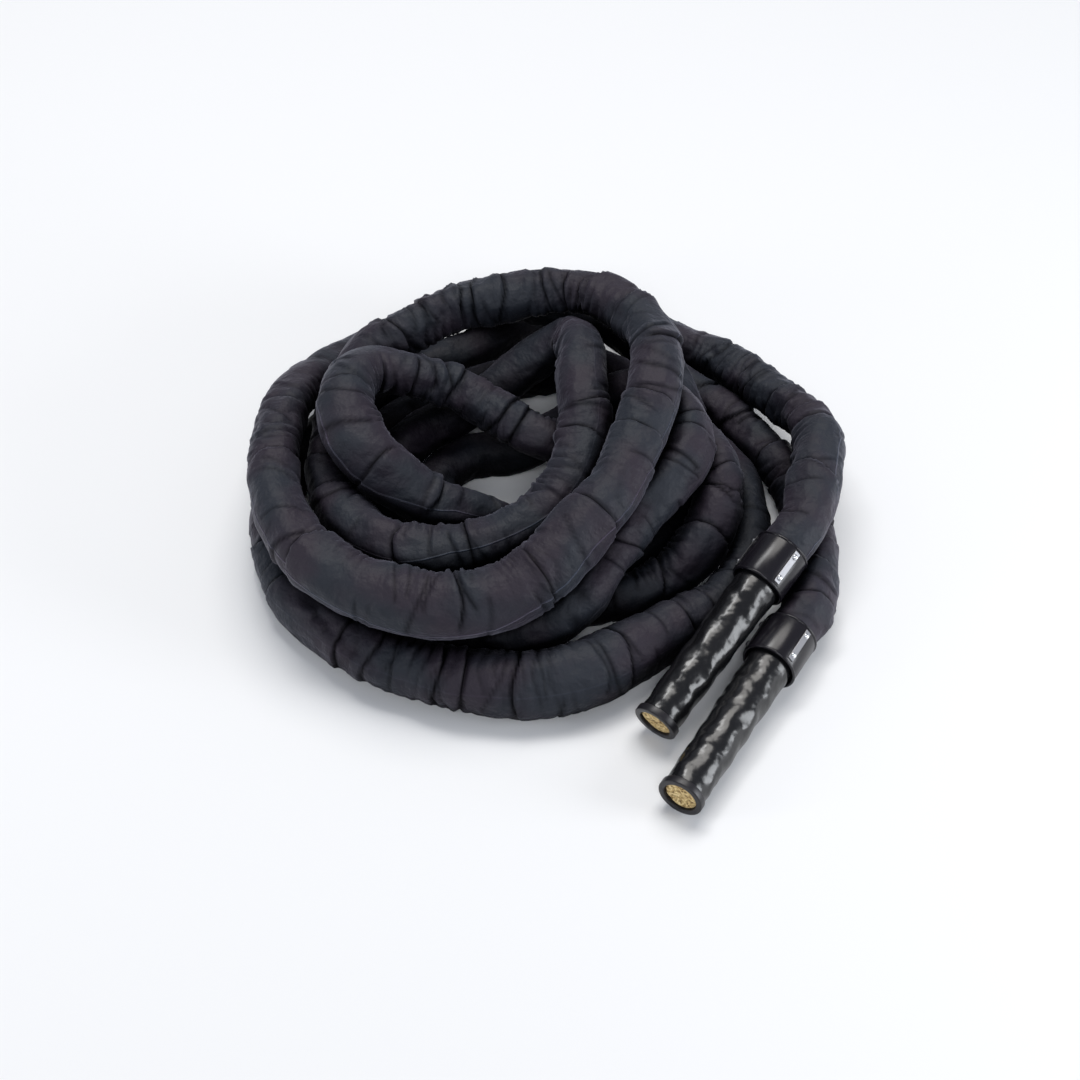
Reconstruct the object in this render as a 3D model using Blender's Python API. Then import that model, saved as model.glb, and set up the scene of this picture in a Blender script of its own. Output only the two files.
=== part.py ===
"""Battle rope: a thick rope in a gathered cloth sleeve, lying in a loose pile, with a moulded grip on each end."""
import math
import bmesh
import bpy
import numpy as np
from mathutils import Matrix, Vector

MM = 0.001
OBJECT_NAME = "battle_rope"

# Driving sizes of the rope, its sleeve and the pile
ROPE_WIDTH = 38 * MM
PILE_UNIT = 1 * MM
POINT_STEP = 47 * MM
SLEEVE_END_SLACK = 9 * MM
SLEEVE_STRAIGHT = 30 * MM
SLEEVE_CLOTH = 1.2 * MM
PILE_GAP = 1 * MM
SEAT_GAP = 0.3 * MM
TUBE_CLEARANCE = 0.4 * MM
# A faceted rope lies on a flat that is a tenth of its width deep
FLOOR_FLAT_SHARE = 0.1

# Grip on each end of the rope
GRIP_LENGTH = 190 * MM
GRIP_WALL = 1.8 * MM
GRIP_TIP_SHRINK = 2.2 * MM
GRIP_RIPPLE = 0.5 * MM
GRIP_RIPPLE_PITCH = 105 * MM
ROPE_STRANDS = 3
GRIP_RINGS = 14

# Ring round the grip's open end
END_RING_FACE = 3 * MM
END_RING_SKIRT = 4 * MM
END_RING_WALL = 1.9 * MM
END_RING_BORE = 31 * MM
END_RING_ROUNDING = 1 * MM

# Ferrule over the sleeve's end
FERRULE_LENGTH = 45 * MM
FERRULE_WALL = 2 * MM
FERRULE_LIP = 0.6 * MM
FERRULE_LIP_LENGTH = 3 * MM
FERRULE_OVER_GRIP = 30 * MM
CUFF_WALL = 1.9 * MM
CUFF_SHOW = 5 * MM
CUFF_ROOT = 12 * MM

# Riveted plates on the ferrule
PLATE_MARGIN = 0.9 * MM
PLATE_WIDTH = 6.2 * MM
PLATE_THICKNESS = 1 * MM
PLATE_ROUNDING = 0.3 * MM
RIVET_INSET = 5.5 * MM
RIVET_HEAD_WIDTH = 5.6 * MM
RIVET_HEAD_HEIGHT = 1.6 * MM
RIVET_SHANK_WIDTH = 2.6 * MM
RIVET_BITE = 8 * MM
# Second plate's bearing round the ferrule, from the first
PLATE_BEARINGS = (math.radians(0), math.radians(-120))

# Counts of sides
TURNED_SIDES = 24
RIVET_SIDES = 10
RIVET_DOME_POINTS = 4
CURVE_SPAN_POINTS = 12

CUT_OVERRUN = 5 * MM

# Straight ends: the tip of each grip, which rests on its ring, a spot further up its axis, and the way
# its first plate faces
END_A_TIP = (143, -249)
END_A_ROOT = (234, -125, 56)
END_A_PLATE_WAY = Vector((0.54, -0.52, 0.67))
END_B_TIP = (162, -329)
END_B_ROOT = (245, -190, 26)
END_B_PLATE_WAY = Vector((0.54, -0.48, 0.69))

# Settling of the pile: how far a stretch gives way to its neighbours
FIRM = 0.12
LOOSE = 1.0
HELD = 0.0
SETTLE_ROUNDS = 600
SETTLE_PULL = 0.03
SETTLE_STEP = 1.3
SETTLE_SMOOTHING = 0.15
PULL_ROUNDS_SHARE = 0.7
SMOOTH_ROUNDS_SHARE = 0.8
NEAR_WIDTHS = 1.8
GOOD_ENOUGH_SHARE = 0.1

# The rope's route from grip A to grip B, read off the pile: across, away, height of its middle and
# slack of the sleeve over the rope's width, in pile units, stretch by stretch, with how far each gives way
ROUTE = (
    ("from ferrule A round the right, over the last turn", FIRM, (
        (292, -22, 74, 10), (299, 7, 76, 11), (304, 42, 71, 10), (299, 81, 61, 7), (274, 121, 50, 5),
        (244, 160, 38, 5), (211, 199, 28, 5), (177, 226, 22, 5))),
    ("lowest and outermost turn, back and left", LOOSE, (
        (130, 264, 20, 4), (85, 296, 20, 4), (40, 285, 20, 4), (5, 245, 20, 4), (-45, 212, 20, 4),
        (-95, 172, 20, 4), (-138, 134, 20, 4), (-173, 92, 20, 5), (-197, 48, 20, 6))),
    ("outermost turn in sight, left, front and right", FIRM, (
        (-205, 0, 20, 8), (-202, -30, 20, 10), (-195, -60, 21, 12), (-172, -106, 22, 16), (-136, -140, 24, 18),
        (-97, -169, 24, 19), (-50, -189, 24, 21), (0, -200, 24, 22), (45, -201, 24, 24), (90, -187, 24, 24),
        (132, -160, 23, 22), (170, -134, 21, 15), (204, -100, 20, 7), (227, -52, 20, 6), (235, -8, 20, 6))),
    ("inwards under the right side and over the hairpin to the back", LOOSE, (
        (235, 30, 20, 5), (224, 64, 20, 5), (202, 98, 26, 5), (178, 134, 44, 5), (150, 174, 60, 5),
        (120, 204, 64, 4), (80, 216, 65, 4), (30, 240, 62, 4), (-20, 252, 42, 4), (-70, 240, 24, 4),
        (-116, 207, 25, 5), (-149, 164, 38, 6))),
    ("second layer, left and front", FIRM, (
        (-176, 114, 62, 8), (-190, 62, 76, 9), (-195, 14, 82, 10), (-190, -46, 82, 12), (-172, -93, 80, 16),
        (-144, -124, 77, 18), (-108, -148, 74, 22), (-62, -164, 74, 24), (-12, -168, 76, 24), (38, -150, 80, 23))),
    ("top turn, right and back", FIRM, (
        (72, -119, 91, 21), (107, -80, 105, 16), (124, -48, 112, 14), (136, -15, 118, 12), (147, 18, 123, 12),
        (156, 58, 128, 10), (156, 98, 131, 8), (150, 117, 131, 8), (139, 140, 130, 7), (121, 167, 127, 6),
        (96, 187, 124, 4), (73, 196, 122, 3), (47, 196, 120, 6), (20, 192, 118, 8), (-9, 188, 116, 8),
        (-40, 181, 114, 8), (-78, 161, 110, 8), (-106, 144, 104, 8), (-130, 131, 94, 7))),
    ("inner turn, left, front and right", FIRM, (
        (-140, 116, 82, 6), (-147, 92, 72, 6), (-153, 62, 65, 6), (-154, 30, 64, 7), (-152, 0, 64, 8),
        (-143, -29, 65, 10), (-127, -58, 67, 11), (-100, -80, 69, 12), (-70, -93, 70, 12), (-38, -94, 72, 12),
        (-4, -87, 75, 12), (29, -73, 80, 12), (53, -57, 85, 12), (70, -38, 91, 12), (81, -11, 97, 13),
        (88, 16, 101, 13), (91, 44, 104, 13), (90, 79, 107, 12), (91, 118, 107, 9), (89, 148, 97, 7))),
    ("down at the back and once round on the ground", LOOSE, (
        (74, 166, 74, 4), (42, 156, 50, 4), (2, 130, 32, 4), (-40, 104, 22, 4), (-74, 72, 20, 4),
        (-90, 40, 20, 4), (-94, 14, 20, 4), (-88, -16, 20, 4), (-74, -60, 20, 4), (-44, -92, 20, 4),
        (0, -109, 20, 4), (50, -117, 20, 4), (100, -114, 20, 5))),
    ("third strand in sight on the right", FIRM, (
        (140, -105, 20, 6), (170, -88, 22, 7), (196, -70, 33, 8), (214, -48, 46, 8), (222, -20, 57, 8),
        (222, 10, 62, 8), (212, 42, 61, 8), (199, 68, 57, 8))),
    ("over the hairpin, down and once more round on the ground", LOOSE, (
        (176, 104, 56, 6), (136, 138, 56, 4), (80, 168, 42, 4), (30, 178, 26, 4), (-12, 170, 20, 4),
        (-54, 148, 20, 4), (-89, 118, 20, 4), (-115, 86, 20, 4), (-132, 52, 20, 4), (-137, 15, 20, 4),
        (-133, -25, 20, 4), (-120, -68, 20, 4), (-98, -106, 20, 4), (-66, -134, 20, 4), (-22, -151, 20, 4),
        (25, -157, 22, 5), (70, -130, 42, 8))),
    ("second strand in sight on the right", FIRM, (
        (108, -76, 68, 10), (138, -42, 76, 12), (161, -20, 84, 12), (179, 1, 89, 12), (187, 21, 92, 11),
        (186, 49, 94, 9), (176, 82, 91, 7))),
    ("innermost turn on the ground", LOOSE, (
        (146, 104, 82, 6), (103, 102, 60, 4), (67, 86, 38, 4), (34, 84, 22, 4), (0, 84, 20, 4), (-32, 74, 20, 4),
        (-56, 46, 20, 4), (-54, 0, 20, 4), (-40, -40, 20, 4), (-4, -64, 20, 4), (46, -72, 20, 4),
        (94, -74, 20, 5), (136, -64, 20, 6))),
    ("strand in sight between the two on the right", FIRM, (
        (163, -40, 21, 6), (181, -12, 21, 6), (188, 16, 22, 6), (178, 42, 28, 6))),
    ("in under the inner turn", LOOSE, (
        (148, 58, 44, 5), (105, 60, 58, 4))),
    ("small loop in the middle", FIRM, (
        (62, 52, 71, 4), (30, 63, 75, 4), (0, 84, 80, 4), (-35, 102, 86, 5), (-75, 106, 98, 5),
        (-105, 110, 104, 7), (-125, 99, 110, 9), (-137, 81, 113, 12), (-141, 58, 114, 16), (-138, 33, 112, 19),
        (-128, 6, 106, 19), (-109, -13, 94, 18), (-83, -25, 77, 13), (-55, -39, 62, 8), (-22, -41, 45, 5),
        (12, -42, 28, 4))),
    ("under the inner turn and round the hairpin", LOOSE, (
        (46, -18, 20, 4), (78, 16, 20, 4), (96, 58, 20, 4), (104, 105, 20, 4), (108, 140, 20, 4),
        (122, 172, 20, 4), (152, 180, 20, 5), (178, 160, 20, 5))),
    ("out on the ground to ferrule B", FIRM, (
        (197, 130, 20, 5), (224, 104, 20, 5), (249, 75, 21, 5), (269, 45, 22, 6), (284, 12, 22, 7),
        (291, -34, 21, 7), (295, -82, 21, 7))),
)

# Sizes that follow from the ones above
ROPE_RADIUS = ROPE_WIDTH / 2
GRIP_BORE_RADIUS = ROPE_RADIUS + SEAT_GAP
GRIP_RADIUS = GRIP_BORE_RADIUS + GRIP_WALL
CUFF_BORE_RADIUS = GRIP_RADIUS + SEAT_GAP
CUFF_RADIUS = CUFF_BORE_RADIUS + CUFF_WALL
FERRULE_BORE_RADIUS = CUFF_RADIUS + SEAT_GAP
FERRULE_RADIUS = FERRULE_BORE_RADIUS + FERRULE_WALL
GRIP_START = END_RING_FACE + SEAT_GAP
GRIP_END = GRIP_START + GRIP_LENGTH
FERRULE_START = GRIP_END - FERRULE_OVER_GRIP
FERRULE_END = FERRULE_START + FERRULE_LENGTH
PLATE_LENGTH = FERRULE_LENGTH - 2 * (FERRULE_LIP_LENGTH + FERRULE_LIP + PLATE_MARGIN)
RIVET_SPACING = PLATE_LENGTH - 2 * RIVET_INSET
RING_BORE_RADIUS = GRIP_RADIUS - GRIP_TIP_SHRINK + SEAT_GAP
RING_RADIUS = RING_BORE_RADIUS + END_RING_WALL
SLEEVE_TUBE_START = FERRULE_END + CUFF_SHOW
RUN_STEPS = math.ceil(SLEEVE_TUBE_START / POINT_STEP)


def clear_scene():
    for old in list(bpy.data.objects):
        bpy.data.objects.remove(old, do_unlink=True)


def new_collection(name):
    collection = bpy.data.collections.new(name)
    bpy.context.scene.collection.children.link(collection)
    return collection


def new_material(name, colour, roughness, metallic=0.0):
    material = bpy.data.materials.new(name)
    material.use_nodes = True
    shader = material.node_tree.nodes["Principled BSDF"]
    shader.inputs["Base Color"].default_value = (*colour, 1.0)
    shader.inputs["Roughness"].default_value = roughness
    shader.inputs["Metallic"].default_value = metallic
    return material


# The rope's route


def smooth_curve(points):
    """Points on a smooth curve through the given ones."""
    p = np.array(points, float)
    p = np.vstack([2 * p[0] - p[1], p, 2 * p[-1] - p[-2]])
    curve = []
    for before, start, end, after in zip(p, p[1:], p[2:], p[3:]):
        for t in np.arange(CURVE_SPAN_POINTS) / CURVE_SPAN_POINTS:
            curve.append(0.5 * (2 * start + (end - before) * t
                                + (2 * before - 5 * start + 4 * end - after) * t ** 2
                                + (3 * start - before - 3 * end + after) * t ** 3))
    curve.append(p[-2])
    return np.array(curve)


def evenly_spaced(curve, step):
    """The same curve, read at even steps along it."""
    lengths = np.linalg.norm(np.diff(curve[:, :3], axis=0), axis=1)
    run = np.concatenate([[0], np.cumsum(lengths)])
    places = np.linspace(0, run[-1], round(run[-1] / step) + 1)
    return np.column_stack([np.interp(places, run, column) for column in curve.T])


def end_line(tip, root):
    """A grip's tip, its ring resting on the ground, and the way that the grip points up its axis."""
    tip = np.array((tip[0] * PILE_UNIT, tip[1] * PILE_UNIT, RING_RADIUS))
    way = np.array(root) * PILE_UNIT - tip
    return tip, way / np.linalg.norm(way)


def straight_run(tip, root):
    """The straight end of the rope: points with their width, none of which gives way."""
    tip, way = end_line(tip, root)
    places = [*np.linspace(0, SLEEVE_TUBE_START, RUN_STEPS + 1), SLEEVE_TUBE_START + SLEEVE_STRAIGHT]
    return np.array([(*(tip + way * place), ROPE_WIDTH + SLEEVE_END_SLACK, HELD) for place in places])


def route_points():
    """Rows of across, away, height, sleeve width and give, from tip A to tip B, before settling."""
    run_a = straight_run(END_A_TIP, END_A_ROOT)
    run_b = straight_run(END_B_TIP, END_B_ROOT)[::-1]
    rows = [(x * PILE_UNIT, y * PILE_UNIT, z * PILE_UNIT, ROPE_WIDTH + slack * PILE_UNIT, give)
            for _, give, spots in ROUTE for x, y, z, slack in spots]
    free = evenly_spaced(smooth_curve([*run_a[-2:], *rows, *run_b[:2]]), POINT_STEP)
    after_a = np.linalg.norm(free[:, :3] - run_a[-1, :3], axis=1).argmin()
    after_b = np.linalg.norm(free[:, :3] - run_b[0, :3], axis=1).argmin()
    free = free[after_a + 1:after_b]
    free[:, 4] = np.clip(free[:, 4], FIRM, LOOSE)
    return np.vstack([run_a, free, run_b])


def nearest_spots(p):
    """For each pair of the rope's segments: the shares along them of their nearest spots, and the way between."""
    i, j = np.triu_indices(len(p) - 1, 1)
    u, v, w = p[i + 1] - p[i], p[j + 1] - p[j], p[i] - p[j]
    uu, vv, uv = (u * u).sum(1), (v * v).sum(1), (u * v).sum(1)
    uw, vw = (u * w).sum(1), (v * w).sum(1)
    spread = np.maximum(uu * vv - uv ** 2, np.finfo(float).tiny)
    s = np.clip((uv * vw - vv * uw) / spread, 0, 1)
    t = np.clip((uv * s + vw) / vv, 0, 1)
    s = np.clip((uv * t - uw) / uu, 0, 1)
    return i, j, s, t, w + u * s[:, None] - v * t[:, None]


def room_between(p, radii):
    """Nearest spots of all pairs, their distance, the room that they need, and which pairs count."""
    i, j, s, t, way = nearest_spots(p)
    need = radii[i] * (1 - s) + radii[i + 1] * s + radii[j] * (1 - t) + radii[j + 1] * t
    counts = (j + t - i - s) * POINT_STEP > NEAR_WIDTHS * need
    return i, j, s, t, way, np.linalg.norm(way, axis=1), need, counts


def settle(rows):
    """Eases stretches that would sink into one another or the ground apart, loose ones further than firm ones."""
    home, radii, give = rows[:, :3], rows[:, 3] / 2, rows[:, 4]
    lowest = (1 - 2 * FLOOR_FLAT_SHARE) * radii
    free = (give > HELD)[:, None]
    moved = np.zeros_like(home)
    for turn in range(SETTLE_ROUNDS):
        if turn < PULL_ROUNDS_SHARE * SETTLE_ROUNDS:
            moved = moved * (1 - SETTLE_PULL * (1 - give))[:, None]
        i, j, s, t, way, distance, need, counts = room_between(home + moved, radii)
        lack = np.where(counts, need + PILE_GAP - distance, 0)
        if lack.max() < GOOD_ENOUGH_SHARE * PILE_GAP:
            break
        hit = lack > 0
        i, j, s, t = i[hit], j[hit], s[hit], t[hit]
        push = way[hit] * (lack[hit] / distance[hit])[:, None]
        give_i = give[i] * (1 - s) + give[i + 1] * s
        give_j = give[j] * (1 - t) + give[j + 1] * t
        part_i = (give_i / (give_i + give_j))[:, None]
        total, weight = np.zeros_like(moved), np.zeros(len(moved))
        for point, share, shove in ((i, 1 - s, part_i * push), (i + 1, s, part_i * push),
                                    (j, 1 - t, (part_i - 1) * push), (j + 1, t, (part_i - 1) * push)):
            np.add.at(total, point, share[:, None] * shove)
            np.add.at(weight, point, share)
        moved = moved + free * SETTLE_STEP * total / np.maximum(weight, 1)[:, None]
        if turn < SMOOTH_ROUNDS_SHARE * SETTLE_ROUNDS:
            beside = moved[:-2] + moved[2:] - 2 * moved[1:-1]
            moved[1:-1] += SETTLE_SMOOTHING * beside
            moved = moved * free
        moved[:, 2] += free[:, 0] * np.maximum(lowest - (home + moved)[:, 2], 0)
    return home + moved


def print_measures(points, radii):
    _, _, _, _, _, distance, need, counts = room_between(points, radii)
    length = np.linalg.norm(np.diff(points, axis=0), axis=1).sum()
    print(f"rope length {length:.3f} m, {len(points)} points")
    print(f"sleeve's least gap to itself {(distance - need)[counts].min() / MM:.2f} mm")


# Modelling helpers


def tube_mesh(name, points, radii):
    """A closed faceted tube along the points, made as a bevelled curve and turned into a mesh."""
    curve = bpy.data.curves.new(name, "CURVE")
    curve.dimensions = "3D"
    curve.bevel_depth = 1.0
    curve.bevel_resolution = 1
    curve.use_fill_caps = True
    spline = curve.splines.new("POLY")
    spline.points.add(len(points) - 1)
    for spot, place, radius in zip(spline.points, points, radii):
        spot.co = (*place, 1.0)
        spot.radius = radius
    guide = bpy.data.objects.new(name, curve)
    bpy.context.scene.collection.objects.link(guide)
    graph = bpy.context.evaluated_depsgraph_get()
    mesh = bpy.data.meshes.new_from_object(guide.evaluated_get(graph))
    bpy.data.objects.remove(guide, do_unlink=True)
    shape = bmesh.new()
    shape.from_mesh(mesh)
    bmesh.ops.remove_doubles(shape, verts=shape.verts, dist=SEAT_GAP / 10)
    bmesh.ops.recalc_face_normals(shape, faces=shape.faces)
    # Tubes on the same points get the same diagonals, so that one never cuts into another round a bend
    bmesh.ops.triangulate(shape, faces=shape.faces, quad_method="FIXED")
    shape.to_mesh(mesh)
    shape.free()
    mesh.name = name
    return mesh


def add_mesh_object(name, mesh, collection, material=None, parent=None):
    thing = bpy.data.objects.new(name, mesh)
    collection.objects.link(thing)
    thing.parent = parent
    if material:
        mesh.materials.append(material)
    return thing


def hide_cutter(thing):
    thing.hide_render = True
    thing.display_type = "WIRE"
    return thing


def turned_mesh(name, profile, sides):
    """A closed profile of (radius, height) pairs turned round Z."""
    shape = bmesh.new()
    corners = [shape.verts.new((radius, 0, height)) for radius, height in profile]
    edges = [shape.edges.new(pair) for pair in zip(corners, corners[1:] + corners[:1])]
    bmesh.ops.spin(shape, geom=corners + edges, cent=(0, 0, 0), axis=(0, 0, 1), angle=math.tau,
                   steps=sides, use_merge=True)
    bmesh.ops.remove_doubles(shape, verts=shape.verts, dist=SEAT_GAP / 10)
    bmesh.ops.recalc_face_normals(shape, faces=shape.faces)
    mesh = bpy.data.meshes.new(name)
    shape.to_mesh(mesh)
    shape.free()
    mesh.shade_smooth()
    mesh.set_sharp_from_angle(angle=math.radians(30))
    return mesh


def cylinder_mesh(name, radius, bottom, top, sides):
    shape = bmesh.new()
    bmesh.ops.create_cone(shape, cap_ends=True, segments=sides, radius1=radius, radius2=radius,
                          depth=top - bottom, matrix=Matrix.Translation((0, 0, (bottom + top) / 2)))
    mesh = bpy.data.meshes.new(name)
    shape.to_mesh(mesh)
    shape.free()
    return mesh


def add_boolean(thing, other, operation):
    modifier = thing.modifiers.new(f"{operation.lower()} {other.name}", "BOOLEAN")
    modifier.operation = operation
    modifier.solver = "EXACT"
    modifier.object = other


# The rope, its sleeve and the pieces on each end


def add_end_axis(name, tip, root, plate_way):
    """An empty at the grip's tip whose Z runs up the grip and whose X is the way the first plate faces."""
    tip, up = (Vector(part) for part in end_line(tip, root))
    across = (plate_way - plate_way.dot(up) * up).normalized()
    axis = bpy.data.objects.new(name, None)
    bpy.context.scene.collection.objects.link(axis)
    axis.matrix_world = Matrix.Translation(tip) @ Matrix((across, up.cross(across), up)).transposed().to_4x4()
    return axis


def add_ground(name, level, points, cutters):
    """A box whose top is the level at which a piece that lies on the ground is cut flat."""
    low, high = points.min(axis=0), points.max(axis=0)
    size, middle = 2 * (high - low), (low + high) / 2
    shape = bmesh.new()
    bmesh.ops.create_cube(shape, size=1, matrix=Matrix.Translation((middle[0], middle[1], level - size[2] / 2))
                          @ Matrix.Diagonal((*size, 1)))
    mesh = bpy.data.meshes.new(name)
    shape.to_mesh(mesh)
    shape.free()
    return hide_cutter(add_mesh_object(name, mesh, cutters))


def add_rope_core(points, axes, parts, cutters, material):
    """The rope itself: faceted through the pile, round where the end pieces grip it, pressed flat on the cloth."""
    inner = slice(RUN_STEPS, len(points) - RUN_STEPS)
    radii = np.full(len(points[inner]), ROPE_RADIUS)
    core = add_mesh_object("rope_core", tube_mesh("rope_core", points[inner], radii), parts, material)
    for axis in axes:
        name = f"rope_end_{axis.name}"
        top = SLEEVE_TUBE_START + CUFF_ROOT
        end = turned_mesh(name, [(0, GRIP_START), (ROPE_RADIUS - GRIP_TIP_SHRINK, GRIP_START),
                                 (ROPE_RADIUS, FERRULE_START), (ROPE_RADIUS, top), (0, top)], TURNED_SIDES)
        add_boolean(core, hide_cutter(add_mesh_object(name, end, cutters, parent=axis)), "UNION")
    rest = add_ground("ground_under_rope", SLEEVE_CLOTH + SEAT_GAP, points, cutters)
    add_boolean(core, rest, "DIFFERENCE")
    return core


def add_sleeve(points, widths, axes, parts, cutters, material):
    """The cloth sleeve: a gathered tube with a round cuff on each end, bored for the rope, flat on the ground."""
    inner = slice(RUN_STEPS, len(points) - RUN_STEPS)
    outer_mesh = tube_mesh("sleeve", points[inner], widths[inner] / 2)
    sleeve = add_mesh_object("sleeve", outer_mesh, parts, material)
    for axis in axes:
        cuff = cylinder_mesh(f"cuff_{axis.name}", CUFF_RADIUS, FERRULE_START + FERRULE_LIP_LENGTH,
                             SLEEVE_TUBE_START + CUFF_ROOT, TURNED_SIDES)
        add_boolean(sleeve, hide_cutter(add_mesh_object(cuff.name, cuff, cutters, parent=axis)), "UNION")
    bore_radii = np.full(len(points[inner]), ROPE_RADIUS + TUBE_CLEARANCE)
    bore = add_mesh_object("sleeve_bore", tube_mesh("sleeve_bore", points[inner], bore_radii), cutters)
    add_boolean(bore, add_ground("cloth_under_rope", SLEEVE_CLOTH, points, cutters), "DIFFERENCE")
    add_boolean(sleeve, hide_cutter(bore), "DIFFERENCE")
    for axis in axes:
        rope_way = cylinder_mesh(f"rope_way_{axis.name}", ROPE_RADIUS + SEAT_GAP, FERRULE_START,
                                 SLEEVE_TUBE_START + CUFF_ROOT + SEAT_GAP, TURNED_SIDES)
        grip_way = cylinder_mesh(f"grip_way_{axis.name}", CUFF_BORE_RADIUS, FERRULE_START - CUT_OVERRUN,
                                 GRIP_END + SEAT_GAP, TURNED_SIDES)
        for way in (rope_way, grip_way):
            add_boolean(sleeve, hide_cutter(add_mesh_object(way.name, way, cutters, parent=axis)), "DIFFERENCE")
    add_boolean(sleeve, add_ground("ground", 0, points, cutters), "DIFFERENCE")
    return sleeve


def add_grip(name, axis, parts, material):
    """A shrunk-on plastic tube, narrower at its tip, whose skin follows the rope's strands in slow waves."""
    heights = [GRIP_END, *np.linspace(FERRULE_START, GRIP_START, GRIP_RINGS)]
    shrinks = [0, *np.linspace(0, GRIP_TIP_SHRINK, GRIP_RINGS)]
    profile = [(GRIP_RADIUS - shrink, height) for height, shrink in zip(heights, shrinks)]
    profile += [(GRIP_BORE_RADIUS - GRIP_TIP_SHRINK, GRIP_START), (GRIP_BORE_RADIUS, FERRULE_START),
                (GRIP_BORE_RADIUS, GRIP_END)]
    mesh = turned_mesh(name, profile, TURNED_SIDES)
    wave_top = FERRULE_START - FERRULE_LIP_LENGTH
    wave_bottom = GRIP_START + END_RING_SKIRT
    for spot in mesh.vertices:
        radius = math.hypot(spot.co.x, spot.co.y)
        shrink = np.interp(spot.co.z, heights[::-1], shrinks[::-1])
        if radius + shrink > (GRIP_RADIUS + GRIP_BORE_RADIUS) / 2 and wave_bottom < spot.co.z < wave_top:
            turn = math.atan2(spot.co.y, spot.co.x) + math.tau * spot.co.z / GRIP_RIPPLE_PITCH
            waved = radius + GRIP_RIPPLE * math.cos(ROPE_STRANDS * turn)
            spot.co.x, spot.co.y = spot.co.x * waved / radius, spot.co.y * waved / radius
    return add_mesh_object(name, mesh, parts, material, axis)


def add_end_ring(name, axis, parts, material):
    """The matt ring round the open end, which leaves the rope's end in sight."""
    inside, outside = RING_BORE_RADIUS, RING_RADIUS
    top = GRIP_START + END_RING_SKIRT
    bore = END_RING_BORE / 2
    r = END_RING_ROUNDING
    profile = [(outside - r, top), (outside, top - r), (outside, r), (outside - r, 0), (bore + r, 0), (bore, r),
               (bore, END_RING_FACE), (inside, END_RING_FACE), (inside, top)]
    return add_mesh_object(name, turned_mesh(name, profile, TURNED_SIDES), parts, material, axis)


def add_ferrule(name, axis, parts, material):
    lip = FERRULE_RADIUS + FERRULE_LIP
    low, high = FERRULE_START, FERRULE_END
    profile = [(FERRULE_RADIUS, high), (lip, high - FERRULE_LIP), (lip, high - FERRULE_LIP_LENGTH),
               (FERRULE_RADIUS, high - FERRULE_LIP_LENGTH - FERRULE_LIP),
               (FERRULE_RADIUS, low + FERRULE_LIP_LENGTH + FERRULE_LIP), (lip, low + FERRULE_LIP_LENGTH),
               (lip, low + FERRULE_LIP), (FERRULE_RADIUS, low), (FERRULE_BORE_RADIUS, low),
               (FERRULE_BORE_RADIUS, high)]
    ferrule = add_mesh_object(name, turned_mesh(name, profile, TURNED_SIDES), parts, material, axis)
    # A flat of the ferrule, not an edge, faces each plate
    ferrule.rotation_euler.z = math.pi / TURNED_SIDES
    return ferrule


def plate_seat():
    """Distance from the axis at which a plate lies on a flat of the ferrule."""
    return FERRULE_RADIUS * math.cos(math.pi / TURNED_SIDES) + SEAT_GAP


def add_plate(name, axis, bearing, parts, material):
    shape = bmesh.new()
    bmesh.ops.create_cube(shape, size=1, matrix=Matrix.Diagonal((PLATE_THICKNESS, PLATE_WIDTH, PLATE_LENGTH, 1)))
    bmesh.ops.bevel(shape, geom=shape.edges, offset=PLATE_ROUNDING, segments=1, profile=0.5, affect="EDGES")
    mesh = bpy.data.meshes.new(name)
    shape.to_mesh(mesh)
    shape.free()
    plate = add_mesh_object(name, mesh, parts, material, axis)
    out = plate_seat() + PLATE_THICKNESS / 2
    plate.location = (out * math.cos(bearing), out * math.sin(bearing), (FERRULE_START + FERRULE_END) / 2)
    plate.rotation_euler.z = bearing
    return plate


def rivet_frames():
    """Frames of the rivets in an end's own axes, each with Z along the shank and its origin under the head."""
    out = plate_seat() + PLATE_THICKNESS + SEAT_GAP
    middle = (FERRULE_START + FERRULE_END) / 2
    for bearing in PLATE_BEARINGS:
        for side in (-1, 1):
            place = Matrix.Translation((out * math.cos(bearing), out * math.sin(bearing),
                                        middle + side * RIVET_SPACING / 2))
            yield place @ Matrix.Rotation(bearing, 4, "Z") @ Matrix.Rotation(math.pi / 2, 4, "Y")


def rivet_tail():
    """Length of a shank from under its head into the rope."""
    return plate_seat() + PLATE_THICKNESS + SEAT_GAP - ROPE_RADIUS + RIVET_BITE


def rivet_mesh(name):
    head, shank = RIVET_HEAD_WIDTH / 2, RIVET_SHANK_WIDTH / 2
    dome = [(head * math.sin(turn), RIVET_HEAD_HEIGHT * math.cos(turn))
            for turn in np.linspace(math.pi / 2, 0, RIVET_DOME_POINTS)]
    return turned_mesh(name, [(0, -rivet_tail()), (shank, -rivet_tail()), (shank, 0), *dome], RIVET_SIDES)


def add_rivets(letter, axis, parts, material):
    mesh = rivet_mesh(f"rivet_{letter}")
    for number, frame in enumerate(rivet_frames(), 1):
        rivet = add_mesh_object(f"rivet_{letter}{number}", mesh, parts, parent=axis)
        rivet.matrix_local = frame
    mesh.materials.append(material)


def add_rivet_holes(letter, axis, cutters):
    """One cutter with the holes for an end's four shanks."""
    shape = bmesh.new()
    radius = RIVET_SHANK_WIDTH / 2 + SEAT_GAP
    top, bottom = RIVET_HEAD_HEIGHT, -rivet_tail() - SEAT_GAP
    for frame in rivet_frames():
        bmesh.ops.create_cone(shape, cap_ends=True, segments=RIVET_SIDES, radius1=radius, radius2=radius,
                              depth=top - bottom, matrix=frame @ Matrix.Translation((0, 0, (top + bottom) / 2)))
    mesh = bpy.data.meshes.new(f"rivet_holes_{letter}")
    shape.to_mesh(mesh)
    shape.free()
    return hide_cutter(add_mesh_object(mesh.name, mesh, cutters, parent=axis))


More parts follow.
